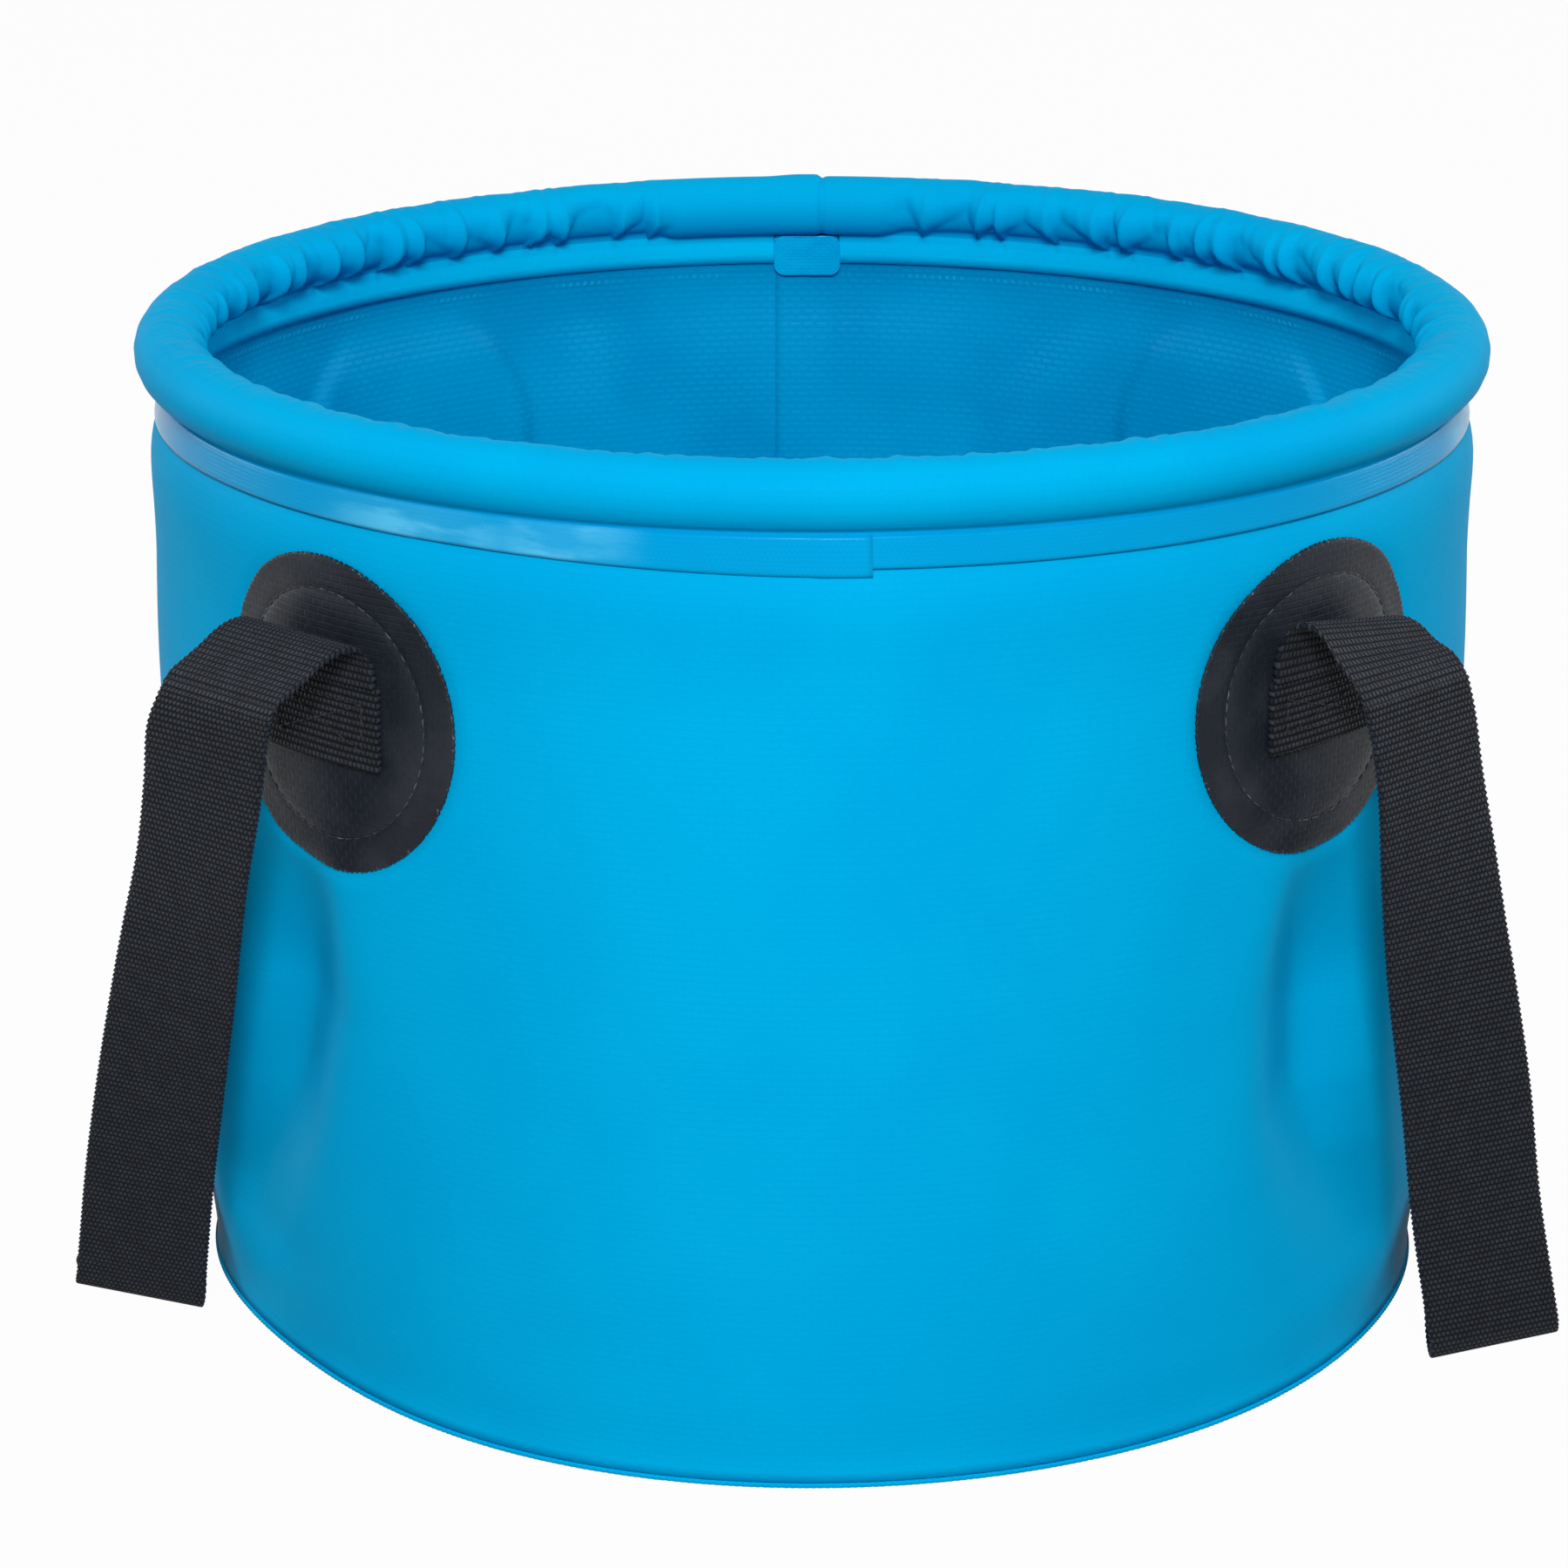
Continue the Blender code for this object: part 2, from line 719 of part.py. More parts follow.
def make_bucket():
    clear_scene()
    parts = make_collection("camp_bucket")
    cutters = make_collection("cutters")
    fabric = make_material("blue tarpaulin", (0.0, 0.36, 0.74), 0.42)
    tape = make_material("blue weld tape", (0.0, 0.38, 0.78), 0.25)
    plastic = make_material("hoop plastic", (0.05, 0.05, 0.05), 0.5)
    black = {
        "patch": make_material("black tarpaulin", (0.016, 0.017, 0.019), 0.45),
        "webbing": make_material("black webbing", (0.012, 0.012, 0.014), 0.8),
        "thread": make_material("black thread", (0.03, 0.03, 0.03), 0.6),
    }
    make_base_panel(parts, fabric)
    make_base_welt(parts, fabric)
    make_wall_panel(parts, fabric)
    make_rim_sleeve(parts, cutters, fabric)
    make_rim_hoop(parts, plastic)
    make_hoop_joiner(parts, plastic)
    make_rim_tape(parts, tape)
    make_seam_tab(parts, fabric)
    for side, sign in sides.items():
        for end in ends:
            prefix = end + "_" + side
            azimuth = sign * patch_azimuth[side]
            if end == "rear":
                azimuth = sign * (math.pi - patch_azimuth[side])
            make_patch(prefix, azimuth, parts, black)
            make_strap_end(prefix, azimuth, parts, black)
            make_strap_arch(prefix, side, azimuth, parts, black)
        make_handle(side, parts, black["webbing"])


make_bucket()
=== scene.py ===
import math
import random

import bmesh
import bpy
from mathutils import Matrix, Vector, noise


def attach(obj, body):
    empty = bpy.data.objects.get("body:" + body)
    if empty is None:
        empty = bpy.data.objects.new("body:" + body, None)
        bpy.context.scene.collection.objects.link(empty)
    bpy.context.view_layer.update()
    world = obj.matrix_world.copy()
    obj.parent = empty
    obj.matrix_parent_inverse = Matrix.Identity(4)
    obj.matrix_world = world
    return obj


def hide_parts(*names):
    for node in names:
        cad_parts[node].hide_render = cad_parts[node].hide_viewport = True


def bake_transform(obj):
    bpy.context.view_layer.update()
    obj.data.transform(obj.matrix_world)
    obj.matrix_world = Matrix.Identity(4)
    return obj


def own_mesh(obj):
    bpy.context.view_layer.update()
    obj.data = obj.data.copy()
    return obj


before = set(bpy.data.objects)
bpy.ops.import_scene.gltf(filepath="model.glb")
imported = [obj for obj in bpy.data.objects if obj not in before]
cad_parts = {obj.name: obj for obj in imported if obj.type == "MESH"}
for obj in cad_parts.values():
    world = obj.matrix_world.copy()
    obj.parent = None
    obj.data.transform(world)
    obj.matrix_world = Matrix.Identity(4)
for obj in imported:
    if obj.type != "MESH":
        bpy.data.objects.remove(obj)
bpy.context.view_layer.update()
print("frame loaded,", len(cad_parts), "nodes")

# camera, floor and light
view = {
    "place": (-0.0006, -1.2238, 0.5146),
    "tiltDown": 0.3118,
    "swing": 0.00506,
    "lens": 117.09,
    "sensor": 36.0,
}
studio = {
    "worldStrength": 0.21,
    "floorColour": (0.36, 0.36, 0.36, 1.0),
    "floorShare": 0.975,  # how much of the floor is plain white rather than lit
    "white": (1.0, 1.0, 1.0, 1.0),
    "lamps": {
        # place, aimed at, width and height, watts
        "overheadLamp": ((0.0, 0.0, 1.7), (0.0, 0.0, 0.15), (1.3, 1.1), 4.5),
        "frontLamp": ((0.02, -2.05, 1.25), (0.0, 0.0, 0.12), (0.45, 0.5), 42.0),
        "leftEdgeLamp": ((-1.75, 0.80, 0.70), (0.0, 0.0, 0.12), (0.9, 1.2), 11.0),
        "rightEdgeLamp": ((1.75, 0.80, 0.70), (0.0, 0.0, 0.12), (0.9, 1.2), 12.0),
    },
}


def newNode(tree, kind, inputs=None, **settings):
    made = tree.nodes.new("ShaderNode" + kind)
    for name, value in settings.items():
        setattr(made, name, value)
    for name, value in (inputs or {}).items():
        if isinstance(value, bpy.types.NodeSocket):
            tree.links.new(value, made.inputs[name])
        else:
            made.inputs[name].default_value = value
    return made


def maths(tree, operation, first, second=0.0):
    return newNode(tree, "Math", {0: first, 1: second}, operation=operation).outputs[0]


def seenDirectly(tree):
    rays = newNode(tree, "LightPath").outputs
    either = maths(tree, "MAXIMUM", rays["Is Camera Ray"], rays["Is Glossy Ray"])
    return maths(tree, "MAXIMUM", either, rays["Is Transmission Ray"])


def emptyTree(owner):
    owner.use_nodes = True
    owner.node_tree.nodes.clear()
    return owner.node_tree


def finishPiece(name, bm, materials):
    mesh = bpy.data.meshes.new(name)
    bm.to_mesh(mesh)
    bm.free()
    for material in materials:
        mesh.materials.append(material)
    mesh.shade_smooth()
    piece = bpy.data.objects.new(name, mesh)
    bpy.context.scene.collection.objects.link(piece)
    return piece


def addCamera():
    data = bpy.data.cameras.new("camera")
    data.sensor_width = view["sensor"]
    data.lens = view["lens"]
    camera = bpy.data.objects.new("camera", data)
    camera.location = view["place"]
    camera.rotation_euler = (math.pi / 2 - view["tiltDown"], 0.0, view["swing"])
    bpy.context.scene.collection.objects.link(camera)
    bpy.context.scene.camera = camera


def addFloor():
    material = bpy.data.materials.new("paleFloor")
    tree = emptyTree(material)
    matt = newNode(tree, "BsdfDiffuse", {"Color": studio["floorColour"]}).outputs[0]
    plain = newNode(tree, "Emission", {"Color": studio["white"], "Strength": 1.0}).outputs[0]
    share = maths(tree, "MULTIPLY", seenDirectly(tree), studio["floorShare"])
    mixed = newNode(tree, "MixShader", {0: share, 1: matt, 2: plain})
    newNode(tree, "OutputMaterial", {"Surface": mixed.outputs[0]})
    bm = bmesh.new()
    bmesh.ops.create_grid(bm, x_segments=1, y_segments=1, size=6.0)
    bmesh.ops.translate(bm, verts=bm.verts, vec=(0.0, 0.0, -0.0004))
    floor = finishPiece("floor", bm, [material])


def addLight():
    world = bpy.data.worlds.new("studio")
    bpy.context.scene.world = world
    tree = emptyTree(world)
    soft = newNode(tree, "Background", {"Color": studio["white"], "Strength": studio["worldStrength"]})
    plain = newNode(tree, "Background", {"Color": studio["white"], "Strength": 1.0})
    mixed = newNode(tree, "MixShader", {0: seenDirectly(tree), 1: soft.outputs[0], 2: plain.outputs[0]})
    newNode(tree, "OutputWorld", {"Surface": mixed.outputs[0]})
    for name, (place, aim, size, watts) in studio["lamps"].items():
        lamp = bpy.data.lights.new(name, "AREA")
        lamp.shape = "RECTANGLE"
        lamp.size, lamp.size_y = size
        lamp.energy = watts
        thing = bpy.data.objects.new(name, lamp)
        thing.location = place
        way = Vector(aim) - Vector(place)
        thing.rotation_euler = way.to_track_quat("-Z", "Y").to_euler()
        bpy.context.scene.collection.objects.link(thing)


bpy.context.scene.view_settings.view_transform = "Standard"
addCamera()
addFloor()
addLight()
print("camera, floor and light placed")


# fabrics and threads
def spread(tree, value, low, high, newLow=0.0, newHigh=1.0):
    inputs = {0: value, 1: low, 2: high, 3: newLow, 4: newHigh}
    return newNode(tree, "MapRange", inputs, interpolation_type="SMOOTHSTEP").outputs[0]


def shadeOf(tree, share, first, second):
    return newNode(tree, "Mix", {0: share, 6: first, 7: second}, data_type="RGBA").outputs[2]


def mottle(tree, size, detail=2.0):
    spot = newNode(tree, "TexCoord").outputs["Object"]
    return newNode(tree, "TexNoise", {"Vector": spot, "Scale": 1.0 / size, "Detail": detail}).outputs["Fac"]


def inMillimetres(tree):
    flat = newNode(tree, "UVMap", uv_map="flat").outputs[0]
    return newNode(tree, "Mapping", {"Vector": flat, "Scale": (1000.0, 1000.0, 1.0)}).outputs[0]


def yarns(tree, width, height, gap):
    # 1 in the furrows between the yarns, 0 on top of them
    inputs = {"Vector": inMillimetres(tree), "Scale": 1.0, "Mortar Size": gap, "Mortar Smooth": 1.0}
    inputs |= {"Brick Width": width, "Row Height": height}
    return newNode(tree, "TexBrick", inputs, offset=0.5).outputs["Fac"]


def raised(tree, height, depth, onto=None):
    inputs = {"Height": height, "Distance": depth, "Strength": 1.0}
    if onto is not None:
        inputs["Normal"] = onto
    return newNode(tree, "Bump", inputs).outputs[0]


def startMaterial(name):
    material = bpy.data.materials.new(name)
    material.use_nodes = True
    return material, material.node_tree


def dress(material, colour, surface, rough, numbers):
    # numbers are those that are the same all over the surface
    tree = material.node_tree
    sockets = tree.nodes["Principled BSDF"].inputs
    for name, value in (("Base Color", colour), ("Normal", surface), ("Roughness", rough)):
        tree.links.new(value, sockets[name])
    for name, value in numbers.items():
        sockets[name].default_value = value
    return material


tarpaulins = {
    # weave is yarn width, yarn height and furrow in millimetres; furrow is how much painted shade darkens the
    # furrows
    "tarpaulinOutside": {
        "colour": (0.0, 0.415, 0.770, 1.0),
        "deep": (0.0, 0.390, 0.750, 1.0),
        "weave": (3.6, 1.78, 0.28),
        "weaveDepth": 0.000014,
        "furrow": 0.05,
        "grain": 0.00003,
        "roughness": (0.44, 0.54),
        "specular": 0.010,
    },
    "tarpaulinInside": {
        "colour": (0.0, 0.345, 0.665, 1.0),
        "deep": (0.0, 0.300, 0.610, 1.0),
        "weave": (3.6, 1.78, 0.80),
        "weaveDepth": 0.00005,
        "furrow": 0.05,
        "grain": 0.00003,
        "roughness": (0.16, 0.28),
        "specular": 0.20,
    },
    # a lighter copy of the outside tarpaulin for the sleeve's inner flange: painted light where the roll
    # shades it
    "paintedLightFlangeTarpaulin": {
        "colour": (0.0, 0.600, 0.980, 1.0),
        "deep": (0.0, 0.540, 0.930, 1.0),
        "weave": (3.6, 1.78, 0.30),
        "weaveDepth": 0.000014,
        "furrow": 0.05,
        "grain": 0.00002,
        "roughness": (0.36, 0.46),
        "specular": 0.05,
    },
    "weldTape": {
        "colour": (0.0, 0.352, 0.700, 1.0),
        "deep": (0.0, 0.335, 0.680, 1.0),
        "weave": (1.2, 0.9, 0.26),
        "weaveDepth": 0.000016,
        "furrow": 0.14,
        "grain": 0.000006,
        "roughness": (0.14, 0.22),
        "specular": 0.07,
    },
    # the tab's blue tarpaulin is painted lighter like the flange: painted light under the roll
    "tabTarpaulin": {
        "colour": (0.0, 0.500, 0.880, 1.0),
        "deep": (0.0, 0.420, 0.800, 1.0),
        "weave": (1.8, 0.9, 0.4),
        "weaveDepth": 0.00003,
        "furrow": 0.12,
        "grain": 0.00003,
        "roughness": (0.22, 0.36),
        "specular": 0.16,
    },
}


# painted highlights on the tape, lighter stretches where lamps would glint on it, as (azimuth, reach) in
# degrees
tapeHighlightStretches = (
    (-33.0, 13.0), (-20.0, 8.0), (-84.0, 11.0), (76.0, 9.0), (128.0, 14.0), (-150.0, 12.0),
)


def paintedTapeHighlight(tree):
    spot = newNode(tree, "TexCoord").outputs["Object"]
    long = newNode(tree, "Mapping", {"Vector": spot, "Scale": (1.0, 1.0, 5.0)}).outputs[0]
    highlightNoise = newNode(tree, "TexNoise", {"Vector": long, "Scale": 40.0, "Detail": 6.0}).outputs["Fac"]
    apart = newNode(tree, "SeparateXYZ", {0: spot}).outputs
    turn = maths(tree, "ARCTAN2", apart[0], maths(tree, "MULTIPLY", apart[1], -1.0))
    stretches = 0.0
    for centre, reach in tapeHighlightStretches:
        off = maths(tree, "ABSOLUTE", maths(tree, "SUBTRACT", turn, math.radians(centre)))
        near = spread(tree, off, 0.0, math.radians(reach), 1.0, 0.0)
        stretches = maths(tree, "MAXIMUM", stretches, near)
    return maths(tree, "MULTIPLY", spread(tree, highlightNoise, 0.40, 0.62, 0.20, 0.95), stretches)


def weldDots(tree, low, high):
    # a row of small dots along the sheet, between two heights
    apart = newNode(tree, "SeparateXYZ", {0: inMillimetres(tree)}).outputs
    middle, reach = (low + high) / 2, (high - low) / 2
    off = maths(tree, "ABSOLUTE", maths(tree, "SUBTRACT", apart[1], middle))
    band = spread(tree, off, reach * 0.6, reach, 1.0, 0.0)
    beat = maths(tree, "SINE", maths(tree, "MULTIPLY", apart[0], math.tau / 2.1))
    dots = maths(tree, "MULTIPLY", band, spread(tree, beat, -0.2, 0.7))
    return maths(tree, "MULTIPLY", dots, spread(tree, mottle(tree, 0.016), 0.40, 0.62))


def tarpaulin(name, weldBand=None):
    look = tarpaulins[name]
    material, tree = startMaterial(name)
    furrow = yarns(tree, *look["weave"])
    cloudy = spread(tree, mottle(tree, 0.055), 0.35, 0.65)
    colour = shadeOf(tree, cloudy, look["colour"], look["deep"])
    dark = tuple(0.55 * part for part in look["deep"][:3]) + (1.0,)
    if name == "tarpaulinInside":
        # painted glints: the tops of the yarns are painted lighter, more in some places than in others
        patchy = spread(tree, mottle(tree, 0.018, 3.0), 0.40, 0.68, 0.0, 0.20)
        crestGlint = maths(tree, "MULTIPLY", spread(tree, furrow, 0.0, 0.6, 1.0, 0.0), patchy)
        colour = shadeOf(tree, crestGlint, colour, (0.0, 0.500, 0.830, 1.0))
    # painted shade: the furrows between the yarns are darkened
    colour = shadeOf(tree, maths(tree, "MULTIPLY", furrow, look["furrow"]), colour, dark)
    grain = mottle(tree, 0.0011, 3.0)
    surface = raised(tree, grain, look["grain"])
    surface = raised(tree, maths(tree, "SUBTRACT", 1.0, furrow), look["weaveDepth"], surface)
    # painted highlight: lighter stretches of the tape stand in for reflections of the lamps
    if name == "weldTape":
        colour = shadeOf(tree, paintedTapeHighlight(tree), colour, (0.11, 0.56, 0.86, 1.0))
    if weldBand:
        # the weld's pressed dots are raised, and also painted lighter as highlights
        dots = weldDots(tree, *weldBand)
        colour = shadeOf(tree, maths(tree, "MULTIPLY", dots, 0.35), colour, (0.02, 0.58, 0.90, 1.0))
        surface = raised(tree, dots, 0.00010, surface)
    numbers = {"Specular IOR Level": look["specular"], "Specular Tint": (0.35, 0.80, 1.0, 1.0)}
    return dress(material, colour, surface, spread(tree, grain, 0.3, 0.7, *look["roughness"]), numbers)


patchLook = {
    "colour": (0.0100, 0.0135, 0.0200, 1.0),
    "patchy": (0.0190, 0.0230, 0.0310, 1.0),
    "cutEdge": (0.20, 0.23, 0.26, 1.0),
    "weave": (3.2, 1.7, 0.30),
    "weaveDepth": 0.00005,
}


def blackTarpaulin(name, edgeAt=None):
    material, tree = startMaterial(name)
    furrow = yarns(tree, *patchLook["weave"])
    # lighter worn patches of the black coating
    patchy = spread(tree, mottle(tree, 0.012, 4.0), 0.42, 0.72)
    colour = shadeOf(tree, patchy, patchLook["colour"], patchLook["patchy"])
    grain = mottle(tree, 0.0009, 3.0)
    if edgeAt:
        # light specks of scrim where the edge was cut
        flat = newNode(tree, "UVMap", uv_map="flat").outputs[0]
        reach = newNode(tree, "VectorMath", {0: flat}, operation="LENGTH").outputs["Value"]
        rim = spread(tree, reach, edgeAt - 0.0007, edgeAt - 0.0001)
        specks = spread(tree, mottle(tree, 0.0010, 2.0), 0.58, 0.74, 0.0, 0.6)
        colour = shadeOf(tree, maths(tree, "MULTIPLY", rim, specks), colour, patchLook["cutEdge"])
    surface = raised(tree, grain, 0.00005)
    surface = raised(tree, maths(tree, "SUBTRACT", 1.0, furrow), patchLook["weaveDepth"], surface)
    rough = spread(tree, grain, 0.3, 0.7, 0.36, 0.52)
    return dress(material, colour, surface, rough, {"Specular IOR Level": 0.16})


webbingLook = {
    "colour": (0.0030, 0.0034, 0.0044, 1.0),
    "glintColour": (0.0330, 0.0400, 0.0580, 1.0),
    "beads": (1.30, 1.65, 0.46),
    "beadDepth": 0.00060,
}


def wovenWebbing(name):
    material, tree = startMaterial(name)
    crown = maths(tree, "SUBTRACT", 1.0, yarns(tree, *webbingLook["beads"]))
    # painted highlight: the crowns of the beads are painted lighter than the black webbing
    crownHighlight = maths(tree, "MULTIPLY", crown, spread(tree, mottle(tree, 0.004, 3.0), 0.3, 0.7, 0.55, 1.0))
    colour = shadeOf(tree, crownHighlight, webbingLook["colour"], webbingLook["glintColour"])
    # single filaments run across each bead
    inputs = {"Vector": inMillimetres(tree), "Scale": 1.6, "Distortion": 1.5, "Detail": 1.0}
    strand = newNode(tree, "TexWave", inputs, wave_type="BANDS", bands_direction="X").outputs["Fac"]
    surface = raised(tree, crown, webbingLook["beadDepth"], raised(tree, strand, 0.00002))
    numbers = {"Specular IOR Level": 0.12, "Sheen Weight": 0.03, "Sheen Roughness": 0.4}
    return dress(material, colour, surface, spread(tree, crown, 0.0, 1.0, 0.85, 0.55), numbers)


def twistedThread(name, colour, glintColour, rough):
    material, tree = startMaterial(name)
    fibre = mottle(tree, 0.0004, 2.0)
    # painted glints: some stretches of the thread are painted lighter
    mixed = shadeOf(tree, spread(tree, mottle(tree, 0.006), 0.45, 0.65), colour, glintColour)
    roughness = spread(tree, fibre, 0.3, 0.7, rough, rough + 0.15)
    return dress(material, mixed, raised(tree, fibre, 0.00006), roughness, {"Specular IOR Level": 0.4})


def mouldedPlastic(name):
    material, tree = startMaterial(name)
    grain = mottle(tree, 0.0015, 3.0)
    colour = shadeOf(tree, grain, (0.030, 0.030, 0.032, 1.0), (0.045, 0.045, 0.048, 1.0))
    return dress(material, colour, raised(tree, grain, 0.00004), spread(tree, grain, 0.3, 0.7, 0.38, 0.5), {})


finishes = {
    "outside": tarpaulin("tarpaulinOutside"),
    "inside": tarpaulin("tarpaulinInside", weldBand=(215.6, 217.2)),
    "flange": tarpaulin("paintedLightFlangeTarpaulin"),
    "tape": tarpaulin("weldTape"),
    "tab": tarpaulin("tabTarpaulin"),
    "patch": blackTarpaulin("blackTarpaulin", edgeAt=0.038),
    "backing": blackTarpaulin("blackBacking"),
    "webbing": wovenWebbing("blackWebbing"),
    "patchThread": twistedThread("patchThread", (0.012, 0.013, 0.016, 1.0), (0.09, 0.10, 0.11, 1.0), 0.5),
    "webbingThread": twistedThread("webbingThread", (0.010, 0.010, 0.011, 1.0), (0.03, 0.03, 0.03, 1.0), 0.6),
    "hoop": mouldedPlastic("hoopPlastic"),
}
print("materials made")


# helpers for sheets that follow the bucket
def mappedGrid(columns, rows, width, length, place, across=None):
    # a grid whose points are placed by their share across and along; its UV map is in metres
    bm = bmesh.new()
    flat = bm.loops.layers.uv.new("flat")
    bmesh.ops.create_grid(bm, x_segments=columns, y_segments=rows, size=0.5)
    for face in bm.faces:
        for loop in face.loops:
            spot = loop.vert.co
            side = across(spot.x + 0.5) if across else (spot.x + 0.5) * width
            loop[flat].uv = (side, (spot.y + 0.5) * length)
    for vert in bm.verts:
        vert.co = place(vert.co.x + 0.5, vert.co.y + 0.5)
    return bm


def turnOutwards(bm, facing=None):
    # a closed piece goes by its volume, an open sheet by what facing measures
    bmesh.ops.recalc_face_normals(bm, faces=bm.faces)
    if (facing(bm) if facing else bm.calc_volume(signed=True)) < 0:
        bmesh.ops.reverse_faces(bm, faces=bm.faces)


def mapAsItLies(bm, flat):
    for face in bm.faces:
        for loop in face.loops:
            loop[flat].uv = loop.vert.co.xy


def thicken(piece, thickness, insideMaterial=0):
    # give an open sheet its thickness on the side away from its faces, and keep the result
    solid = piece.modifiers.new("thickness", "SOLIDIFY")
    solid.thickness = thickness
    solid.offset = -1.0
    solid.use_even_offset = True
    solid.use_quality_normals = True
    solid.material_offset = insideMaterial
    graph = bpy.context.evaluated_depsgraph_get()
    mesh = bpy.data.meshes.new_from_object(piece.evaluated_get(graph), depsgraph=graph)
    piece.modifiers.clear()
    old = piece.data
    piece.data = mesh
    bpy.data.meshes.remove(old)
    mesh.name = piece.name


def smoothStep(low, high, value):
    share = min(max((value - low) / (high - low), 0.0), 1.0)
    return share * share * (3 - 2 * share)


def fades(low, high, value):
    return 1.0 - smoothStep(low, high, value)


def bell(off, reach):
    return math.exp(-((off / reach) ** 2))


def around(azimuth, radius, height):
    # azimuth counts from the front towards +X
    return Vector((radius * math.sin(azimuth), -radius * math.cos(azimuth), height))


def turnBetween(azimuth, other):
    return (azimuth - other + math.pi) % math.tau - math.pi


# wall
wall = {
    "outline": (
        (0.0, 0.1544), (0.00684, 0.154172), (0.02052, 0.155616), (0.05928, 0.15858),
        (0.10944, 0.161088), (0.1596, 0.162), (0.1938, 0.161468), (0.21204, 0.160784),
        (0.22002, 0.159416), (0.228, 0.1582),
    ),
    "bottom": 0.0013,
    "top": 0.228,
    "radius": 0.162,
    "thickness": 0.0006,
    "gap": 0.0003,
    "lapAzimuth": math.radians(180.8),
    "lapLength": 0.0155,
    "lapRamp": 0.0020,
    "columns": 500,
    "rows": 98,
    # the columns crowd at (azimuth in degrees, reach, how much)
    "crowded": ((-48.0, 12.0, 1.2), (46.0, 12.0, 1.2), (131.0, 12.0, 0.6), (-132.0, 12.0, 0.6)),
    "waviness": 0.0007,
    "slackBelowTape": 0.0013,
    # how far the foot is drawn in, by degrees from the front
    "footPull": (
        (-58.0, 24.0, 0.0054), (-4.0, 30.0, -0.0014), (64.0, 20.0, 0.0016), (140.0, 26.0, 0.0022),
        (-150.0, 24.0, 0.0020),
    ),
    # where the wall drops away beside its handles: the steepest line, as (azimuth in degrees, height in
    # millimetres), how deep the drop is, which way it falls, how soft it is and how soon it comes back
    "creases": (
        {"line": ((-44.4, 138.0), (-44.9, 126.0), (-45.8, 112.0), (-46.6, 99.0), (-48.6, 85.0), (-51.4, 68.0),
                  (-54.5, 52.0), (-58.0, 36.0), (-60.0, 18.0)),
         "depth": 0.0138, "side": -1, "soft": 0.0136, "back": 0.028},
        {"line": ((43.2, 139.0), (43.6, 128.0), (44.0, 112.0), (44.4, 94.0), (45.2, 75.0), (47.3, 55.0),
                  (50.0, 40.0), (53.5, 20.0)),
         "depth": 0.0138, "side": 1, "soft": 0.0136, "back": 0.028},
        {"line": ((134.0, 140.0), (133.0, 116.0), (131.4, 96.0), (129.0, 70.0), (127.2, 40.0)),
         "depth": 0.0100, "side": -1, "soft": 0.0130, "back": 0.030},
        {"line": ((-134.6, 140.0), (-133.2, 118.0), (-132.4, 96.0), (-129.8, 66.0), (-128.4, 34.0)),
         "depth": 0.0096, "side": 1, "soft": 0.0140, "back": 0.030},
        {"line": ((-158.0, 210.0), (-162.0, 186.0), (-166.5, 160.0), (-168.0, 120.0)),
         "depth": 0.0030, "side": 1, "soft": 0.0070, "back": 0.030},
        {"line": ((153.0, 210.0), (160.0, 184.0), (165.0, 160.0), (167.0, 120.0)),
         "depth": 0.0032, "side": -1, "soft": 0.0060, "back": 0.034},
    ),
}
# azimuth in degrees, height of the middle, width and height against the plain disc, and how far the wall
# is pressed in behind the patch
corners = {
    "front_left": {"azimuth": -42.7, "height": 0.1752, "size": (0.985, 0.985), "pressed": 0.0010},
    "front_right": {"azimuth": 45.5, "height": 0.1778, "size": (1.0, 0.968), "pressed": 0.0010},
    "rear_left": {"azimuth": -137.3, "height": 0.1765, "size": (1.0, 0.99), "pressed": 0.0022},
    "rear_right": {"azimuth": 134.5, "height": 0.1765, "size": (0.99, 1.0), "pressed": 0.0020},
}
for corner in corners.values():
    corner["azimuth"] = math.radians(corner["azimuth"])


def wallRadius(height):
    # outer radius of the wall: a smooth curve through its outline
    knots = wall["outline"]
    if height <= knots[0][0]:
        return knots[0][1]
    if height >= knots[-1][0]:
        return knots[-1][1]
    slopes = []
    for i in range(len(knots)):
        low = knots[max(i - 1, 0)]
        high = knots[min(i + 1, len(knots) - 1)]
        slopes.append((high[1] - low[1]) / (high[0] - low[0]))
    i = max(k for k in range(len(knots) - 1) if knots[k][0] <= height)
    span = knots[i + 1][0] - knots[i][0]
    t = (height - knots[i][0]) / span
    start = (2 * t**3 - 3 * t**2 + 1) * knots[i][1]
    leave = (t**3 - 2 * t**2 + t) * span * slopes[i]
    finish = (3 * t**2 - 2 * t**3) * knots[i + 1][1]
    arrive = (t**3 - t**2) * span * slopes[i + 1]
    return start + leave + finish + arrive


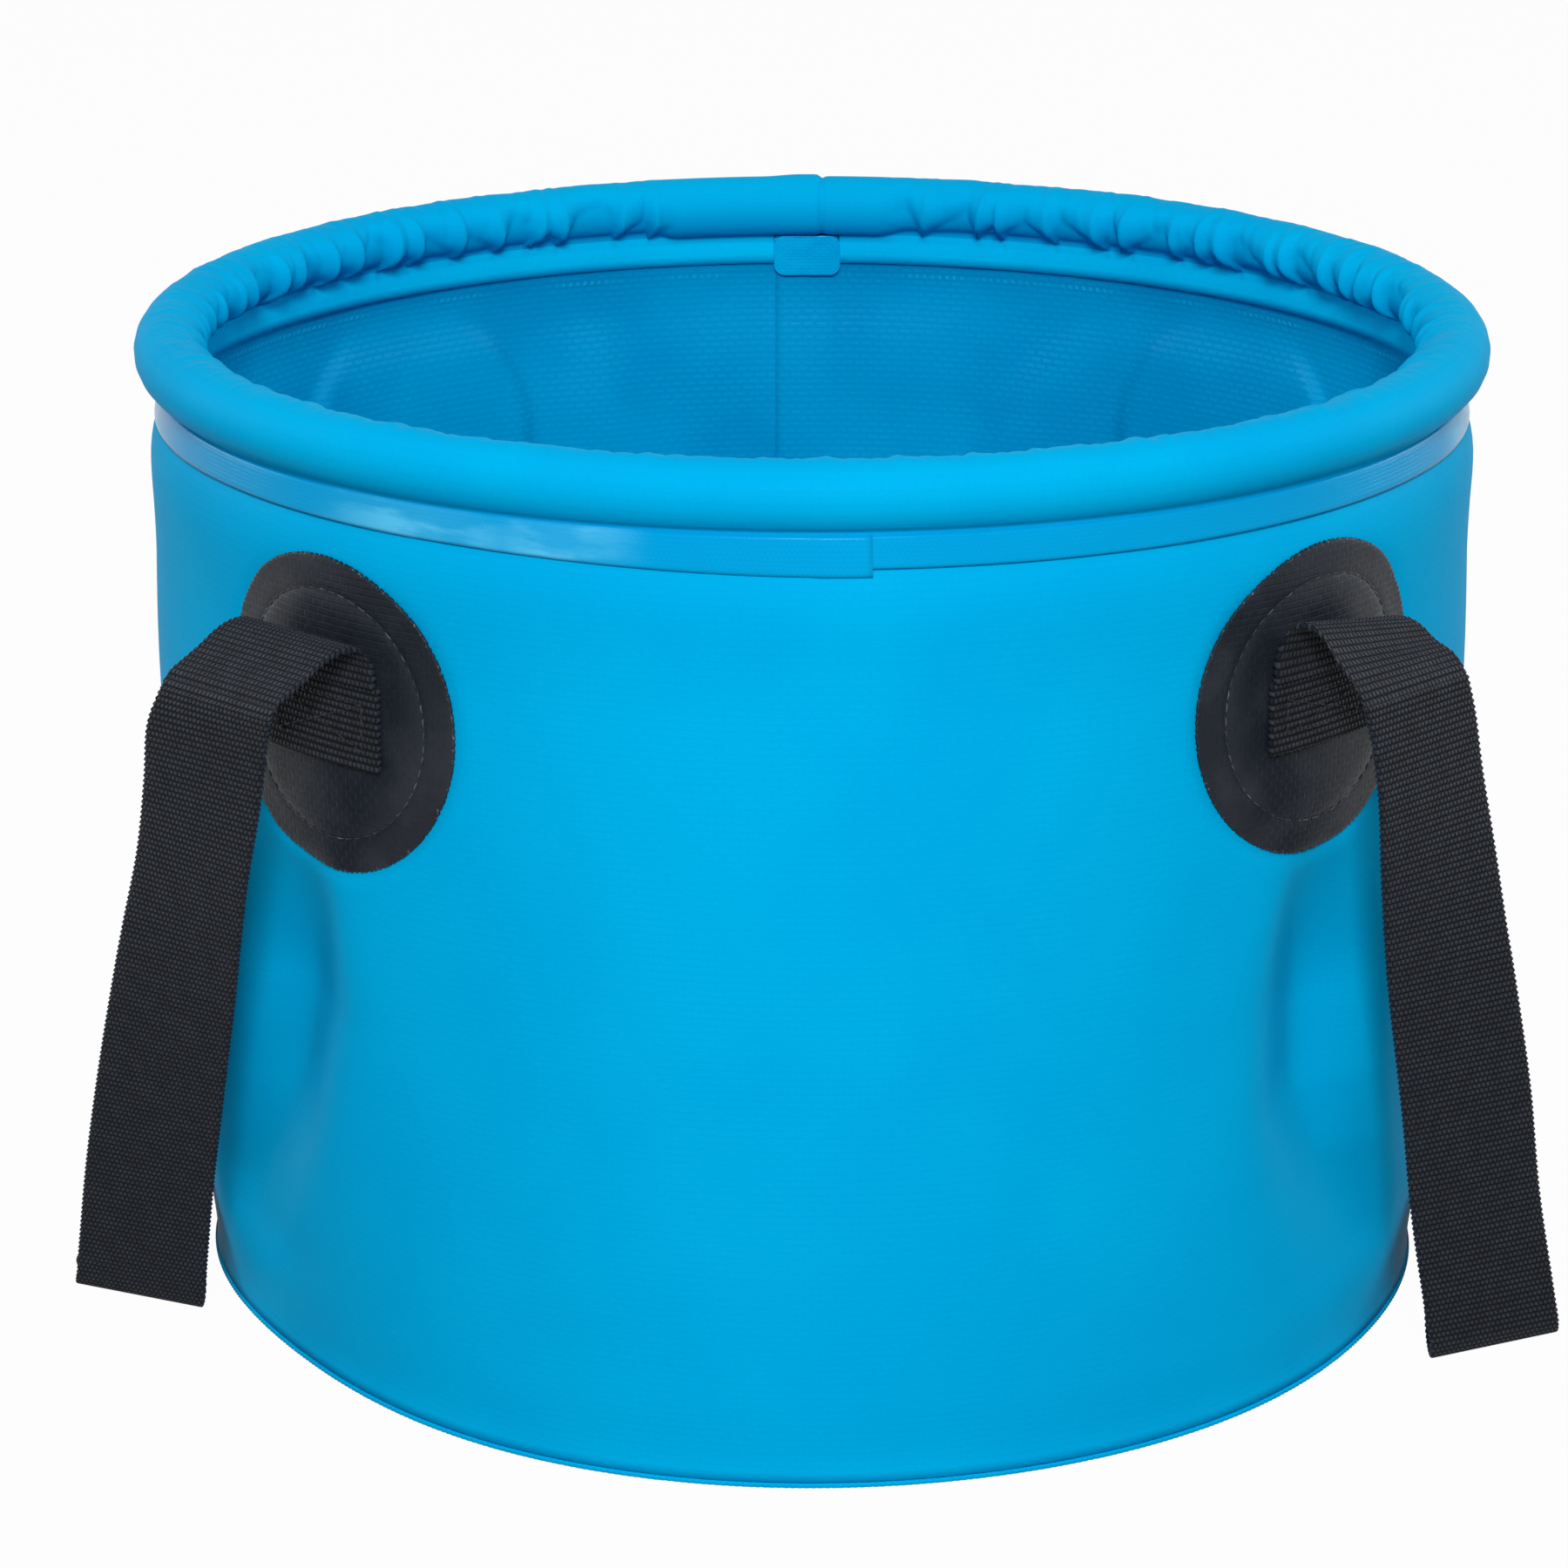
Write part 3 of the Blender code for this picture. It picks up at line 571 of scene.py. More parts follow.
def creaseDepth(crease, azimuth, height):
    line = crease["line"]
    high, low = line[0][1] / 1000, line[-1][1] / 1000
    if height > high + 0.006 or height < low - 0.02:
        return 0.0
    level = min(max(height * 1000, line[-1][1]), line[0][1])
    centre = line[0][0]
    for (fromAz, fromUp), (toAz, toUp) in zip(line, line[1:]):
        if toUp <= level <= fromUp:
            share = (fromUp - level) / (fromUp - toUp)
            centre = fromAz + (toAz - fromAz) * share
            break
    fall = (high - height) / (high - low)
    off = turnBetween(azimuth, math.radians(centre)) * wall["radius"] * crease["side"]
    # narrow where it starts and wider further down, so that it is as steep all along
    spreads = 0.48 + 0.52 * smoothStep(0.0, 0.34, fall)
    soft = crease["soft"] * (spreads + 0.55 * smoothStep(0.40, 1.0, fall))
    shape = 0.5 + 0.5 * math.erf(off / soft)
    shape *= 1.0 - smoothStep(1.05 * soft, 1.05 * soft + crease["back"], off)
    fade = smoothStep(-0.04, 0.34, fall) ** 0.62 * (1.0 - 0.35 * smoothStep(0.45, 0.80, fall))
    return crease["depth"] * shape * fade * fades(0.72, 1.12, fall)


def footPull(azimuth):
    pull = 0.0
    for centre, reach, depth in wall["footPull"]:
        off = math.degrees(turnBetween(azimuth, math.radians(centre)))
        pull += depth * bell(off, reach)
    return pull


def skinRadius(azimuth, height):
    # outer face of the wall with its dents and soft waves
    radius = wallRadius(height) - footPull(azimuth) * fades(0.0, 0.110, height) ** 1.3
    slack = wall["slackBelowTape"] * (0.75 + 0.35 * noise.noise(around(azimuth, 2.2, 7.0)))
    radius += slack * smoothStep(0.185, 0.212, height) * fades(0.2182, 0.2204, height)
    calm = fades(0.198, 0.214, height) * smoothStep(0.004, 0.03, height)
    if calm <= 0.0:
        return radius
    dent = sum(creaseDepth(crease, azimuth, height) for crease in wall["creases"])
    for place in corners.values():
        off = math.hypot(turnBetween(azimuth, place["azimuth"]) * wall["radius"], height - place["height"])
        # the stiff patch lies a little flatter, with a soft step at its edge
        dent += place["pressed"] * fades(0.0365, 0.0405, off)
    spot = around(azimuth, 3.4, height * 16.0)
    wave = noise.noise(spot) * wall["waviness"]
    quiet = 0.35 + 1.15 * smoothStep(0.25, 0.75, abs(turnBetween(azimuth, 0.0)) / math.pi)
    return radius - calm * (dent + wall["waviness"] * 0.5 - wave * quiet)


def onSkin(azimuth, across, up, offset):
    turned = azimuth + across / wall["radius"]
    return around(turned, skinRadius(turned, up) + offset, up)


def wallColumns(start, sweep):
    # shares of the sweep at which the columns stand, closer together where the wall is creased
    steps = 4000
    piled = [0.0]
    for i in range(steps):
        azimuth = start + sweep * (i + 0.5) / steps
        density = 1.0
        for centre, reach, extra in wall["crowded"]:
            off = math.degrees(turnBetween(azimuth, math.radians(centre)))
            density += extra * bell(off, reach)
        piled.append(piled[-1] + density)
    shares, i = [], 0
    for column in range(wall["columns"] + 1):
        goal = piled[-1] * column / wall["columns"]
        while i < steps - 1 and piled[i + 1] < goal:
            i += 1
        shares.append((i + (goal - piled[i]) / (piled[i + 1] - piled[i])) / steps)
    return shares


def makeWall():
    half = wall["lapLength"] / 2 / wall["radius"]
    start = wall["lapAzimuth"] - half
    sweep = math.tau + 2 * half
    shares = wallColumns(start, sweep)
    rampStart = wall["lapAzimuth"] + math.tau - half - wall["lapRamp"] / wall["radius"]
    lapStep = wall["thickness"] + wall["gap"]

    def place(u, v):
        azimuth = start + sweep * shares[round(u * wall["columns"])]
        height = wall["bottom"] + (wall["top"] - wall["bottom"]) * v
        ramp = smoothStep(0.0, wall["lapRamp"] / wall["radius"], azimuth - rampStart)
        return around(azimuth, skinRadius(azimuth, height) - lapStep * ramp, height)

    def across(u):
        return shares[round(u * wall["columns"])] * sweep * wall["radius"]

    bm = mappedGrid(wall["columns"], wall["rows"], sweep * wall["radius"], wall["top"], place, across)
    piece = finishPiece("wallSheet", bm, [finishes["outside"], finishes["inside"]])
    thicken(piece, wall["thickness"], insideMaterial=1)
    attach(piece, "base")
    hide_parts("wall_panel")
    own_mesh(piece)
    print("wall made")


# base
base = {
    "radius": 0.1535,
    "thickness": 0.0010,
    "waves": 0.0016,
    "lipInner": 0.1539,
    "lipOuter": 0.15485,
    "lipHeight": 0.0012,
    "teeth": 610,
    "toothDepth": 0.00045,
}


def makeBase():
    def place(u, v):
        azimuth = math.tau * u
        reach = (base["radius"] - footPull(azimuth)) * v
        spot = around(azimuth, reach, 0.0)
        calm = fades(0.80, 1.0, v) * 0.9
        lift = (0.5 + 0.5 * noise.noise(spot * 26.0)) * base["waves"] * calm
        return Vector((spot.x, spot.y, base["thickness"] + lift))

    bm = mappedGrid(180, 44, 1.0, 1.0, place)
    bmesh.ops.remove_doubles(bm, verts=bm.verts, dist=0.00002)
    turnOutwards(bm, lambda sheet: sum(face.normal.z for face in sheet.faces))
    mapAsItLies(bm, bm.loops.layers.uv["flat"])
    piece = finishPiece("baseSheet", bm, [finishes["inside"], finishes["outside"]])
    thicken(piece, base["thickness"] - 0.0002, insideMaterial=1)
    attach(piece, "base")
    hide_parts("base_panel")


def makeWelt():
    # the welded edge under the wall, cut with pinking teeth
    steps = base["teeth"] * 4
    profile = ((0.0, 0.06), (0.0, 0.94), (0.70, 1.0), (0.93, 0.9), (1.0, 0.55), (0.95, 0.12), (0.70, 0.0))

    def place(u, v):
        azimuth = math.tau * u
        across, up = profile[round(v * len(profile)) % len(profile)]
        tooth = 0.5 + 0.5 * math.cos(u * base["teeth"] * math.tau)
        uneven = 0.6 + 0.4 * noise.noise(around(azimuth, 60.0, 1.0))
        outer = base["lipOuter"] - base["toothDepth"] * tooth * uneven
        radius = base["lipInner"] + (outer - base["lipInner"]) * across - footPull(azimuth)
        return around(azimuth, radius, base["lipHeight"] * up)

    bm = mappedGrid(steps, len(profile), math.tau * base["lipOuter"], 0.006, place)
    bmesh.ops.remove_doubles(bm, verts=bm.verts, dist=0.00001)
    turnOutwards(bm)
    piece = finishPiece("weldedFoot", bm, [finishes["outside"]])
    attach(piece, "base")
    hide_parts("base_welt")
    print("base made")


makeWall()
makeBase()
makeWelt()


# rim
rim = {
    "rollRadius": 0.0080,
    "centreRadius": 0.1570,
    "centreHeight": 0.2364,
    "flangeFace": -0.0015,
    "outerFace": 0.0009,
    "flangeLow": 0.2202,
    "outerLow": 0.2229,
    "thickness": 0.00042,
    "stepsAround": 1360,
    "innerTurns": 24,  # rows over the gathered side, then over the smooth side
    "outerTurns": 7,
    "flangeRows": 3,
    "plainZone": (172.5, 194.5),  # degrees that stay smooth at the back
    "seamAzimuth": 179.0,
    "pleatPitch": 0.0118,
    "pleatDepth": 0.0028,
    "puff": 0.0030,
    "wrinklePitch": 0.0052,
    "wrinkleDepth": 0.00055,
    # from the roll's underside into the outer flange, as (radius, height) in millimetres
    "fillet": ((161.25, 229.62), (160.45, 229.22), (159.75, 228.85), (159.35, 228.30)),
}
rollFoot = rim["centreHeight"] - rim["rollRadius"]
lapMiddle = wall["lapAzimuth"] - wall["lapRamp"] / 2 / wall["radius"]
sectorCount = 180


def pleatLines(pitch, seed, leanReach):
    # azimuth, strength and lean of each gather, right round the rim
    dice = random.Random(seed)
    ring = math.tau * (rim["centreRadius"] - rim["rollRadius"])
    count = round(ring / pitch)
    lines = []
    for i in range(count):
        azimuth = math.tau * (i + dice.uniform(-0.3, 0.3)) / count
        lines.append((azimuth % math.tau, dice.uniform(0.45, 1.0), dice.uniform(-leanReach, leanReach)))
    return lines


def nearLines(lines, reach):
    # the same lines sorted into sectors, so that a point looks only at its own
    sectors = [[] for _ in range(sectorCount)]
    for line in lines:
        middle = int(line[0] / math.tau * sectorCount)
        for k in range(-reach, reach + 1):
            sectors[(middle + k) % sectorCount].append(line)
    return sectors


pleatSectors = nearLines(pleatLines(rim["pleatPitch"], 5, 0.0026), 3)
wrinkleSectors = nearLines(pleatLines(rim["wrinklePitch"], 9, 0.0042), 3)


def gather(azimuth, turn):
    # how far the sleeve stands off its round; turn is in degrees from the roll's foot, inwards and over
    azimuth %= math.tau
    degrees = math.degrees(azimuth)
    low, high = rim["plainZone"]
    beyond = 1.0 - smoothStep(high - 1.0, high + 3.0, degrees)
    zone = 1.0 - smoothStep(low - 3.0, low + 1.0, degrees) * beyond
    sector = int(azimuth / math.tau * sectorCount) % sectorCount
    radius = rim["centreRadius"] - rim["rollRadius"] * math.sin(math.radians(turn))
    stands = line = 0.0
    for place, strength, lean in pleatSectors[sector]:
        # a fold of cloth: a narrow ridge at the roll's foot that widens as it climbs
        width = 0.0017 + 0.0112 * smoothStep(25.0, 172.0 - 25.0 * strength, turn)
        off = turnBetween(azimuth, place) * radius - lean * (turn / 90.0 - 0.4)
        # one flank is steeper than the other
        flank = width * (1.0 + 0.45 * math.copysign(1.0, off * lean))
        stands = max(stands, max(0.0, 1.0 - (abs(off) / flank) ** 0.95) * (0.60 + 0.40 * strength))
        # and runs on over the top as a fine line
        line = max(line, strength * bell(off, 0.0011))
    fine = 0.0
    for place, strength, lean in wrinkleSectors[sector]:
        off = turnBetween(azimuth, place) * radius - lean * (turn / 90.0 - 1.2)
        fine = max(fine, strength * bell(off, 0.0010))
    # pits at the foot of the roll; the ridges stand out only above it, so that the seam stays in sight
    depth = rim["pleatDepth"] * smoothStep(0.0, 10.0, turn) * fades(85.0, 150.0, turn)
    puff = rim["puff"] * smoothStep(34.0, 82.0, turn) * fades(90.0, 170.0, turn)
    # the wrinkles run further over the top at the sides than at the back
    reach = 208.0 + 26.0 * abs(math.sin(azimuth))
    fineDepth = rim["wrinkleDepth"] * smoothStep(50.0, 100.0, turn) * fades(150.0, reach, turn)
    lineHeight = 0.00050 * smoothStep(70.0, 110.0, turn) * fades(165.0, reach, turn)
    lump = noise.noise(around(azimuth, 16.0, turn / 60.0)) * 0.00045 * smoothStep(10.0, 60.0, turn)
    lump *= 1.0 - smoothStep(190.0, 250.0, turn)
    size = 0.78 + 0.34 * noise.noise(around(azimuth, 7.0, 2.0))
    return zone * size * (
        puff * stands - depth * (1.0 - stands) - fineDepth * fine + lineHeight * (line - 0.4) + lump
    )


def closestToHoop(turn):
    # the tube inside is drawn up and out, away from the roll's lower inner side
    swing = math.radians(turn)
    return 0.00685 - 0.00064 * (math.sin(swing) + math.cos(swing))


def sleeveRows():
    # the sleeve's section from the inner flange's edge to the outer flange's, row by row
    rows = [("flange", share / rim["flangeRows"]) for share in range(rim["flangeRows"])]
    rows += [("roll", 190.0 * i / rim["innerTurns"]) for i in range(rim["innerTurns"])]
    rows += [("roll", 190.0 + 130.0 * i / rim["outerTurns"]) for i in range(rim["outerTurns"] + 1)]
    rows += [("fillet", spot) for spot in rim["fillet"]]
    return rows + [("outer", 0.0), ("outer", 1.0)]


sleeveSection = sleeveRows()


def sleevePoint(azimuth, row):
    kind, value = sleeveSection[row]
    if kind == "flange":
        height = rim["flangeLow"] + (rollFoot - 0.0002 - rim["flangeLow"]) * value
        sway = noise.noise(around(azimuth, 9.0, 0.0)) * 0.0002
        return around(azimuth, wallRadius(height) + rim["flangeFace"] - abs(sway), height)
    if kind == "roll":
        radius = rim["rollRadius"] + gather(azimuth, value)
        radius = max(radius, closestToHoop(value))
        # the far end of the sleeve laps over its start
        past = turnBetween(azimuth, math.radians(rim["seamAzimuth"])) * rim["centreRadius"]
        lap = smoothStep(0.0, 0.0009, past) * fades(0.006, 0.016, past)
        radius += 0.00050 * lap * smoothStep(15.0, 60.0, value)
        radius -= 0.00055 * bell(past, 0.0008) * fades(220.0, 260.0, value)
        swing = math.radians(value)
        return around(
            azimuth,
            rim["centreRadius"] - radius * math.sin(swing),
            rim["centreHeight"] - radius * math.cos(swing),
        )
    if kind == "fillet":
        return around(azimuth, value[0] / 1000, value[1] / 1000)
    high = 0.2272
    height = high + (rim["outerLow"] - high) * value
    return around(azimuth, wallRadius(height) + rim["outerFace"], height)


def makeSleeve():
    rows = len(sleeveSection) - 1

    def place(u, v):
        return sleevePoint(math.tau * u, round(v * rows))

    girth = math.tau * rim["centreRadius"]
    length = 0.0082 + math.tau * rim["rollRadius"] * 0.9 + 0.0075
    bm = mappedGrid(rim["stepsAround"], rows, girth, length, place)
    bmesh.ops.remove_doubles(bm, verts=bm.verts, dist=0.00001)

    def onFlange(spot, margin):
        inside = math.hypot(spot.x, spot.y) < wallRadius(spot.z) - 0.0005
        return inside and spot.z < rollFoot - margin

    # the inner flange stops either side of the wall's lap
    half = (wall["lapLength"] + wall["lapRamp"]) / 2 / wall["radius"] + 0.002
    doomed = []
    for face in bm.faces:
        spot = face.calc_center_median()
        azimuth = math.atan2(spot.x, -spot.y)
        if onFlange(spot, 0.00015) and abs(turnBetween(azimuth, lapMiddle)) < half:
            doomed.append(face)
    bmesh.ops.delete(bm, geom=doomed, context="FACES")
    turnOutwards(bm, lambda sheet: max(sheet.faces, key=lambda face: face.calc_center_median().z).normal.z)
    # the inner flange takes the lighter copy of the outside tarpaulin, painted light under the roll
    for face in bm.faces:
        if onFlange(face.calc_center_median(), 0.0001):
            face.material_index = 1
    piece = finishPiece("rimSleeve", bm, [finishes["outside"], finishes["flange"]])
    thicken(piece, rim["thickness"])
    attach(piece, "rim")
    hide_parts("rim_sleeve")
    print("sleeve made")


tape = {
    "low": 0.2205,
    "high": 0.2280,
    "face": 0.0014,
    "thickness": 0.00026,
    "lapAzimuth": math.radians(2.6),
    "lapLength": 0.0120,
    "lapRamp": 0.0015,
    "drop": 0.0017,
}


def makeTape():
    half = tape["lapLength"] / 2 / wall["radius"]
    start = tape["lapAzimuth"] - half
    sweep = math.tau + 2 * half
    rampStart = start + math.tau - tape["lapRamp"] / wall["radius"]

    def place(u, v):
        azimuth = start + sweep * u
        # the strip runs a little downhill before it meets its start again
        drop = tape["drop"] * smoothStep(0.90, 1.0, u)
        low = tape["low"] - drop
        height = low + (tape["high"] - low) * v
        ripple = noise.noise(around(azimuth, 5.0, v * 0.6)) * 0.00018
        ramp = smoothStep(0.0, tape["lapRamp"] / wall["radius"], azimuth - rampStart)
        edge = 0.00016 * fades(0.0, 0.12, v) + 0.00014 * smoothStep(0.88, 1.0, v)
        radius = wallRadius(height) + tape["face"] + tape["thickness"] * ramp + ripple - edge
        return around(azimuth, radius, height)

    bm = mappedGrid(640, 9, sweep * wall["radius"], tape["high"] - tape["low"], place)
    piece = finishPiece("rimTape", bm, [finishes["tape"]])
    thicken(piece, tape["thickness"])
    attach(piece, "rim")
    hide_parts("rim_tape")


tab = {"height": 0.0115, "width": 0.0187, "corner": 0.0030, "face": -0.0021, "thickness": 0.0003}


def makeTab():
    top = rollFoot - 0.0003
    half = tab["width"] / 2

    def place(u, v):
        # columns crowd towards the two rounded ends
        across = -half * math.cos(math.pi * u)
        past = max(abs(across) - (half - tab["corner"]), 0.0)
        cut = tab["corner"] - math.sqrt(max(tab["corner"] ** 2 - past**2, 0.0))
        low, high = top - tab["height"] + cut, top - cut
        height = low + (high - low) * v
        weld = 0.00025 * fades(0.0, 0.0016, half - abs(across))
        pucker = noise.noise(Vector((across * 260.0, height * 260.0, 3.0))) * 0.00022
        azimuth = lapMiddle - across / wall["radius"]
        return around(azimuth, wallRadius(height) + tab["face"] + weld + pucker, height)

    bm = mappedGrid(48, 26, tab["width"], tab["height"], place)
    piece = finishPiece("seamTab", bm, [finishes["tab"]])
    thicken(piece, tab["thickness"])
    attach(piece, "rim")
    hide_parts("seam_tab")
    print("rim made")


makeSleeve()
makeTape()
makeTab()
for name in ("rim_hoop", "hoop_joiner"):
    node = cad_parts[name]
    for place in node.material_slots:
        place.material = finishes["hoop"]


# patches
patch = {
    "keep": 0.36,
    "steps": 600,
    "backingSteps": 96,
    "teeth": 146,
    "toothDepth": 0.0007,
    "stitchRadius": 0.0298,
    "stitchLength": 0.0024,
    "stitchPitch": 0.0031,
    "stitchOffset": 0.00128,
    "threadRadius": 0.00017,
    # section as (radius, offset from the wall) in millimetres: the face, then the back
    "section": (
        (0.0, 2.05), (9.0, 2.05), (18.0, 2.05), (22.0, 2.03), (25.0, 1.97), (27.0, 1.84), (28.6, 1.62),
        (29.3, 1.40), (29.8, 1.22), (30.3, 1.30), (31.2, 1.34), (33.0, 1.22), (35.0, 1.14), (36.6, 1.12),
        (37.6, 1.06), (38.0, 0.94), (38.0, 0.40), (37.5, 0.30), (34.0, 0.30), (29.7, 0.34), (28.8, 1.15),
        (24.0, 1.35), (0.0, 1.4),
    ),
    "backing": (
        (0.0, 1.1), (14.0, 1.1), (24.0, 1.05), (28.0, 0.88), (28.5, 0.45), (28.2, 0.3),
        (14.0, 0.3), (0.0, 0.3),
    ),
}


def spunDisc(section, steps):
    # turn a section of (radius, offset) into a flat disc
    bm = bmesh.new()
    verts = [bm.verts.new((radius / 1000, 0.0, offset / 1000)) for radius, offset in section]
    edges = [bm.edges.new(pair) for pair in zip(verts, verts[1:])]
    bmesh.ops.spin(
        bm, geom=verts + edges, cent=(0, 0, 0), axis=(0, 0, 1), angle=math.tau, steps=steps, use_merge=True
    )
    bmesh.ops.remove_doubles(bm, verts=bm.verts, dist=0.000005)
    turnOutwards(bm)
    mapAsItLies(bm, bm.loops.layers.uv.new("flat"))
    return bm


def layOnWall(bm, place):
    wide, high = place["size"]
    for vert in bm.verts:
        across, up, offset = vert.co
        vert.co = onSkin(place["azimuth"], across * wide, place["height"] + up * high, offset)


def flattenWithWall(piece):
    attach(piece, "patches")
    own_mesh(piece)


def pinkedEdge(bm, seed):
    # teeth of the cut edge, uneven as a blunt cutter leaves them, and the rim curling a little
    for vert in bm.verts:
        reach = math.hypot(vert.co.x, vert.co.y)
        turn = math.atan2(vert.co.y, vert.co.x)
        if reach > 0.0370:
            tooth = abs(math.sin(turn * patch["teeth"] / 2))
            uneven = 0.5 + 0.9 * noise.noise(Vector((math.cos(turn), math.sin(turn), seed)) * 21.0)
            share = 1.0 - patch["toothDepth"] * (1.0 - tooth) * max(uneven, 0.05) / reach
            vert.co.x *= share
            vert.co.y *= share
        if reach > 0.0300 and vert.co.z > 0.0008:
            curl = noise.noise(Vector((vert.co.x, vert.co.y, seed)) * 90.0)
            vert.co.z += 0.00012 * curl * smoothStep(0.031, 0.036, reach)


def addStitch(bm, place, centre, way, height, offset, length):
    made = bmesh.ops.create_uvsphere(bm, u_segments=6, v_segments=5, radius=1.0)
    along = Vector((math.cos(way), math.sin(way)))
    side = Vector((-along.y, along.x))
    for vert in made["verts"]:
        run = vert.co.z * length / 2
        wide = vert.co.x * patch["threadRadius"]
        high = vert.co.y * patch["threadRadius"] + 0.00010 - 0.0003 * abs(vert.co.z) ** 3
        across = centre[0] + along.x * run + side.x * wide
        up = centre[1] + along.y * run + side.y * wide
        vert.co = onSkin(place["azimuth"], across, height + up, offset + high)


def makePatch(corner, place):
    seed = round(math.degrees(place["azimuth"]))
    bm = spunDisc(patch["section"], patch["steps"])
    pinkedEdge(bm, seed)
    layOnWall(bm, place)
    piece = finishPiece(corner + "PatchDisc", bm, [finishes["patch"]])
    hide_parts(corner + "_patch_disc")
    flattenWithWall(piece)
    bm = spunDisc(patch["backing"], patch["backingSteps"])
    layOnWall(bm, place)
    piece = finishPiece(corner + "PatchBacking", bm, [finishes["backing"]])
    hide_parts(corner + "_patch_backing")
    flattenWithWall(piece)
    # a ring of single stitches in the groove beside the backing
    bm = bmesh.new()
    wide, high = place["size"]
    count = round(math.tau * patch["stitchRadius"] / patch["stitchPitch"])
    for i in range(count):
        turn = math.tau * (i + 0.15 * noise.noise(Vector((i * 0.7, seed, 0.5)))) / count
        across = patch["stitchRadius"] * math.cos(turn) * wide
        up = patch["stitchRadius"] * math.sin(turn) * high
        way = turn + math.pi / 2
        addStitch(bm, place, (across, up), way, place["height"], patch["stitchOffset"], patch["stitchLength"])
    piece = finishPiece(corner + "PatchStitching", bm, [finishes["patchThread"]])
    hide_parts(corner + "_patch_stitching")
    flattenWithWall(piece)


for corner, place in corners.items():
    makePatch(corner, place)
print("patches made")


# webbing
webbing = {
    "halfWidth": 0.0185,
    "halfThickness": 0.0009,
    "ribPitch": 0.00165,
    "ribHeight": 0.00034,
    "rowsPerRib": 5,
    "scallop": 0.00034,
    "faceColumns": 12,
    "sewnOffset": 0.0034,
    "pivotHeight": 0.1850,
    "stitchInset": 0.0045,
    "stitchPitch": 0.0027,
    "foldRadius": 0.0060,
    "floorClearance": 0.0003,
    "runLean": math.radians(45.0),
    "runClearance": 0.0030,
}
handles = {
    "left": {
        "sign": -1,
        "sewnBottom": 0.1651,
        # middle of the band over the arch, as (radius, height) in millimetres, and its twist
        "arch": ((165.1, 185.0), (165.2, 190.4), (167.6, 194.6), (172.6, 195.8), (178.4, 194.6),
                 (184.0, 191.7), (188.8, 189.5), (192.7, 187.6), (194.7, 185.0)),
        "twist": 0.0,
        # middle of the front leg from the arch to the fold, as (x, y, height) in millimetres, and its turn
        "leg": ((-135.0, -138.8, 175.0, 38.5), (-137.3, -132.5, 160.0, 39.6), (-141.2, -123.1, 140.0, 41.2),
                (-145.5, -113.0, 120.0, 37.4), (-148.6, -105.2, 105.0, 34.2), (-154.8, -88.8, 75.0, 29.8),
                (-160.6, -73.0, 45.0, 27.0), (-165.0, -59.6, 18.0, 25.2), (-166.7, -53.6, 7.0, 24.4)),
        # where each leg meets the floor, and how far the band has turned there in degrees
        "front": {"side": 0.1680, "reach": 0.0505, "turn": 24.2},
        "rear": {"side": 0.1640, "reach": 0.0990, "turn": 14.0},
    },
    "right": {
        "sign": 1,
        "sewnBottom": 0.1680,
        "arch": ((165.1, 185.0), (165.0, 190.8), (167.4, 195.8), (171.8, 197.3), (176.6, 196.1),
                 (181.2, 192.4), (186.3, 189.1), (189.3, 185.0)),
        "twist": -0.16,
        "leg": ((137.6, -129.8, 175.0, 45.8), (140.2, -126.2, 160.0, 45.2), (143.3, -120.7, 140.0, 39.8),
                (146.5, -114.9, 120.0, 35.2), (149.2, -110.4, 105.0, 32.0), (154.7, -100.9, 75.0, 28.9),
                (159.2, -92.0, 45.0, 28.0), (164.4, -84.6, 18.0, 26.6), (166.6, -81.6, 7.0, 26.0)),
        "front": {"side": 0.1674, "reach": 0.0792, "turn": 26.0},
        "rear": {"side": 0.1658, "reach": 0.0763, "turn": 22.0},
    },
}


def bandSection():
    # round the band once, as (across, height share)
    count = webbing["faceColumns"]
    face = [(-0.965 + 1.93 * i / count, 1.0) for i in range(count + 1)]
    edge = [(0.992, 0.85), (1.0, 0.5), (1.0, 0.0), (1.0, -0.5), (0.992, -0.85)]
    return face + edge + [(-side, -level) for side, level in face + edge]


bandPoints = bandSection()


def makeBand(name, start, finish, pointAt):
    # pointAt(run, across, height) places a point of the band; run is counted along the whole handle
    count = len(bandPoints)
    pitch = webbing["ribPitch"]
    rows = max(4, round((finish - start) / pitch * webbing["rowsPerRib"]))

    def place(u, v):
        side, level = bandPoints[round(u * count) % count]
        run = start + (finish - start) * v
        rib = 0.5 - 0.5 * math.cos(math.tau * run / pitch)
        high = webbing["halfThickness"] - webbing["ribHeight"] * (1.0 - rib)
        wide = webbing["halfWidth"] - webbing["scallop"] * (1.0 - rib) * smoothStep(0.9, 1.0, abs(side))
        return pointAt(run, side * wide, level * high)

    def across(u):
        return 0.03 + bandPoints[round(u * count) % count][0] * webbing["halfWidth"]

    bm = mappedGrid(count, rows, 1.0, finish - start, place, across)
    flat = bm.loops.layers.uv["flat"]
    for face in bm.faces:
        for loop in face.loops:
            loop[flat].uv.y += start + 0.99
    bmesh.ops.remove_doubles(bm, verts=bm.verts, dist=0.000002)
    openEdges = [edge for edge in bm.edges if edge.is_boundary]
    bmesh.ops.holes_fill(bm, edges=openEdges, sides=0)
    turnOutwards(bm)
    return finishPiece(name, bm, [finishes["webbing"]])


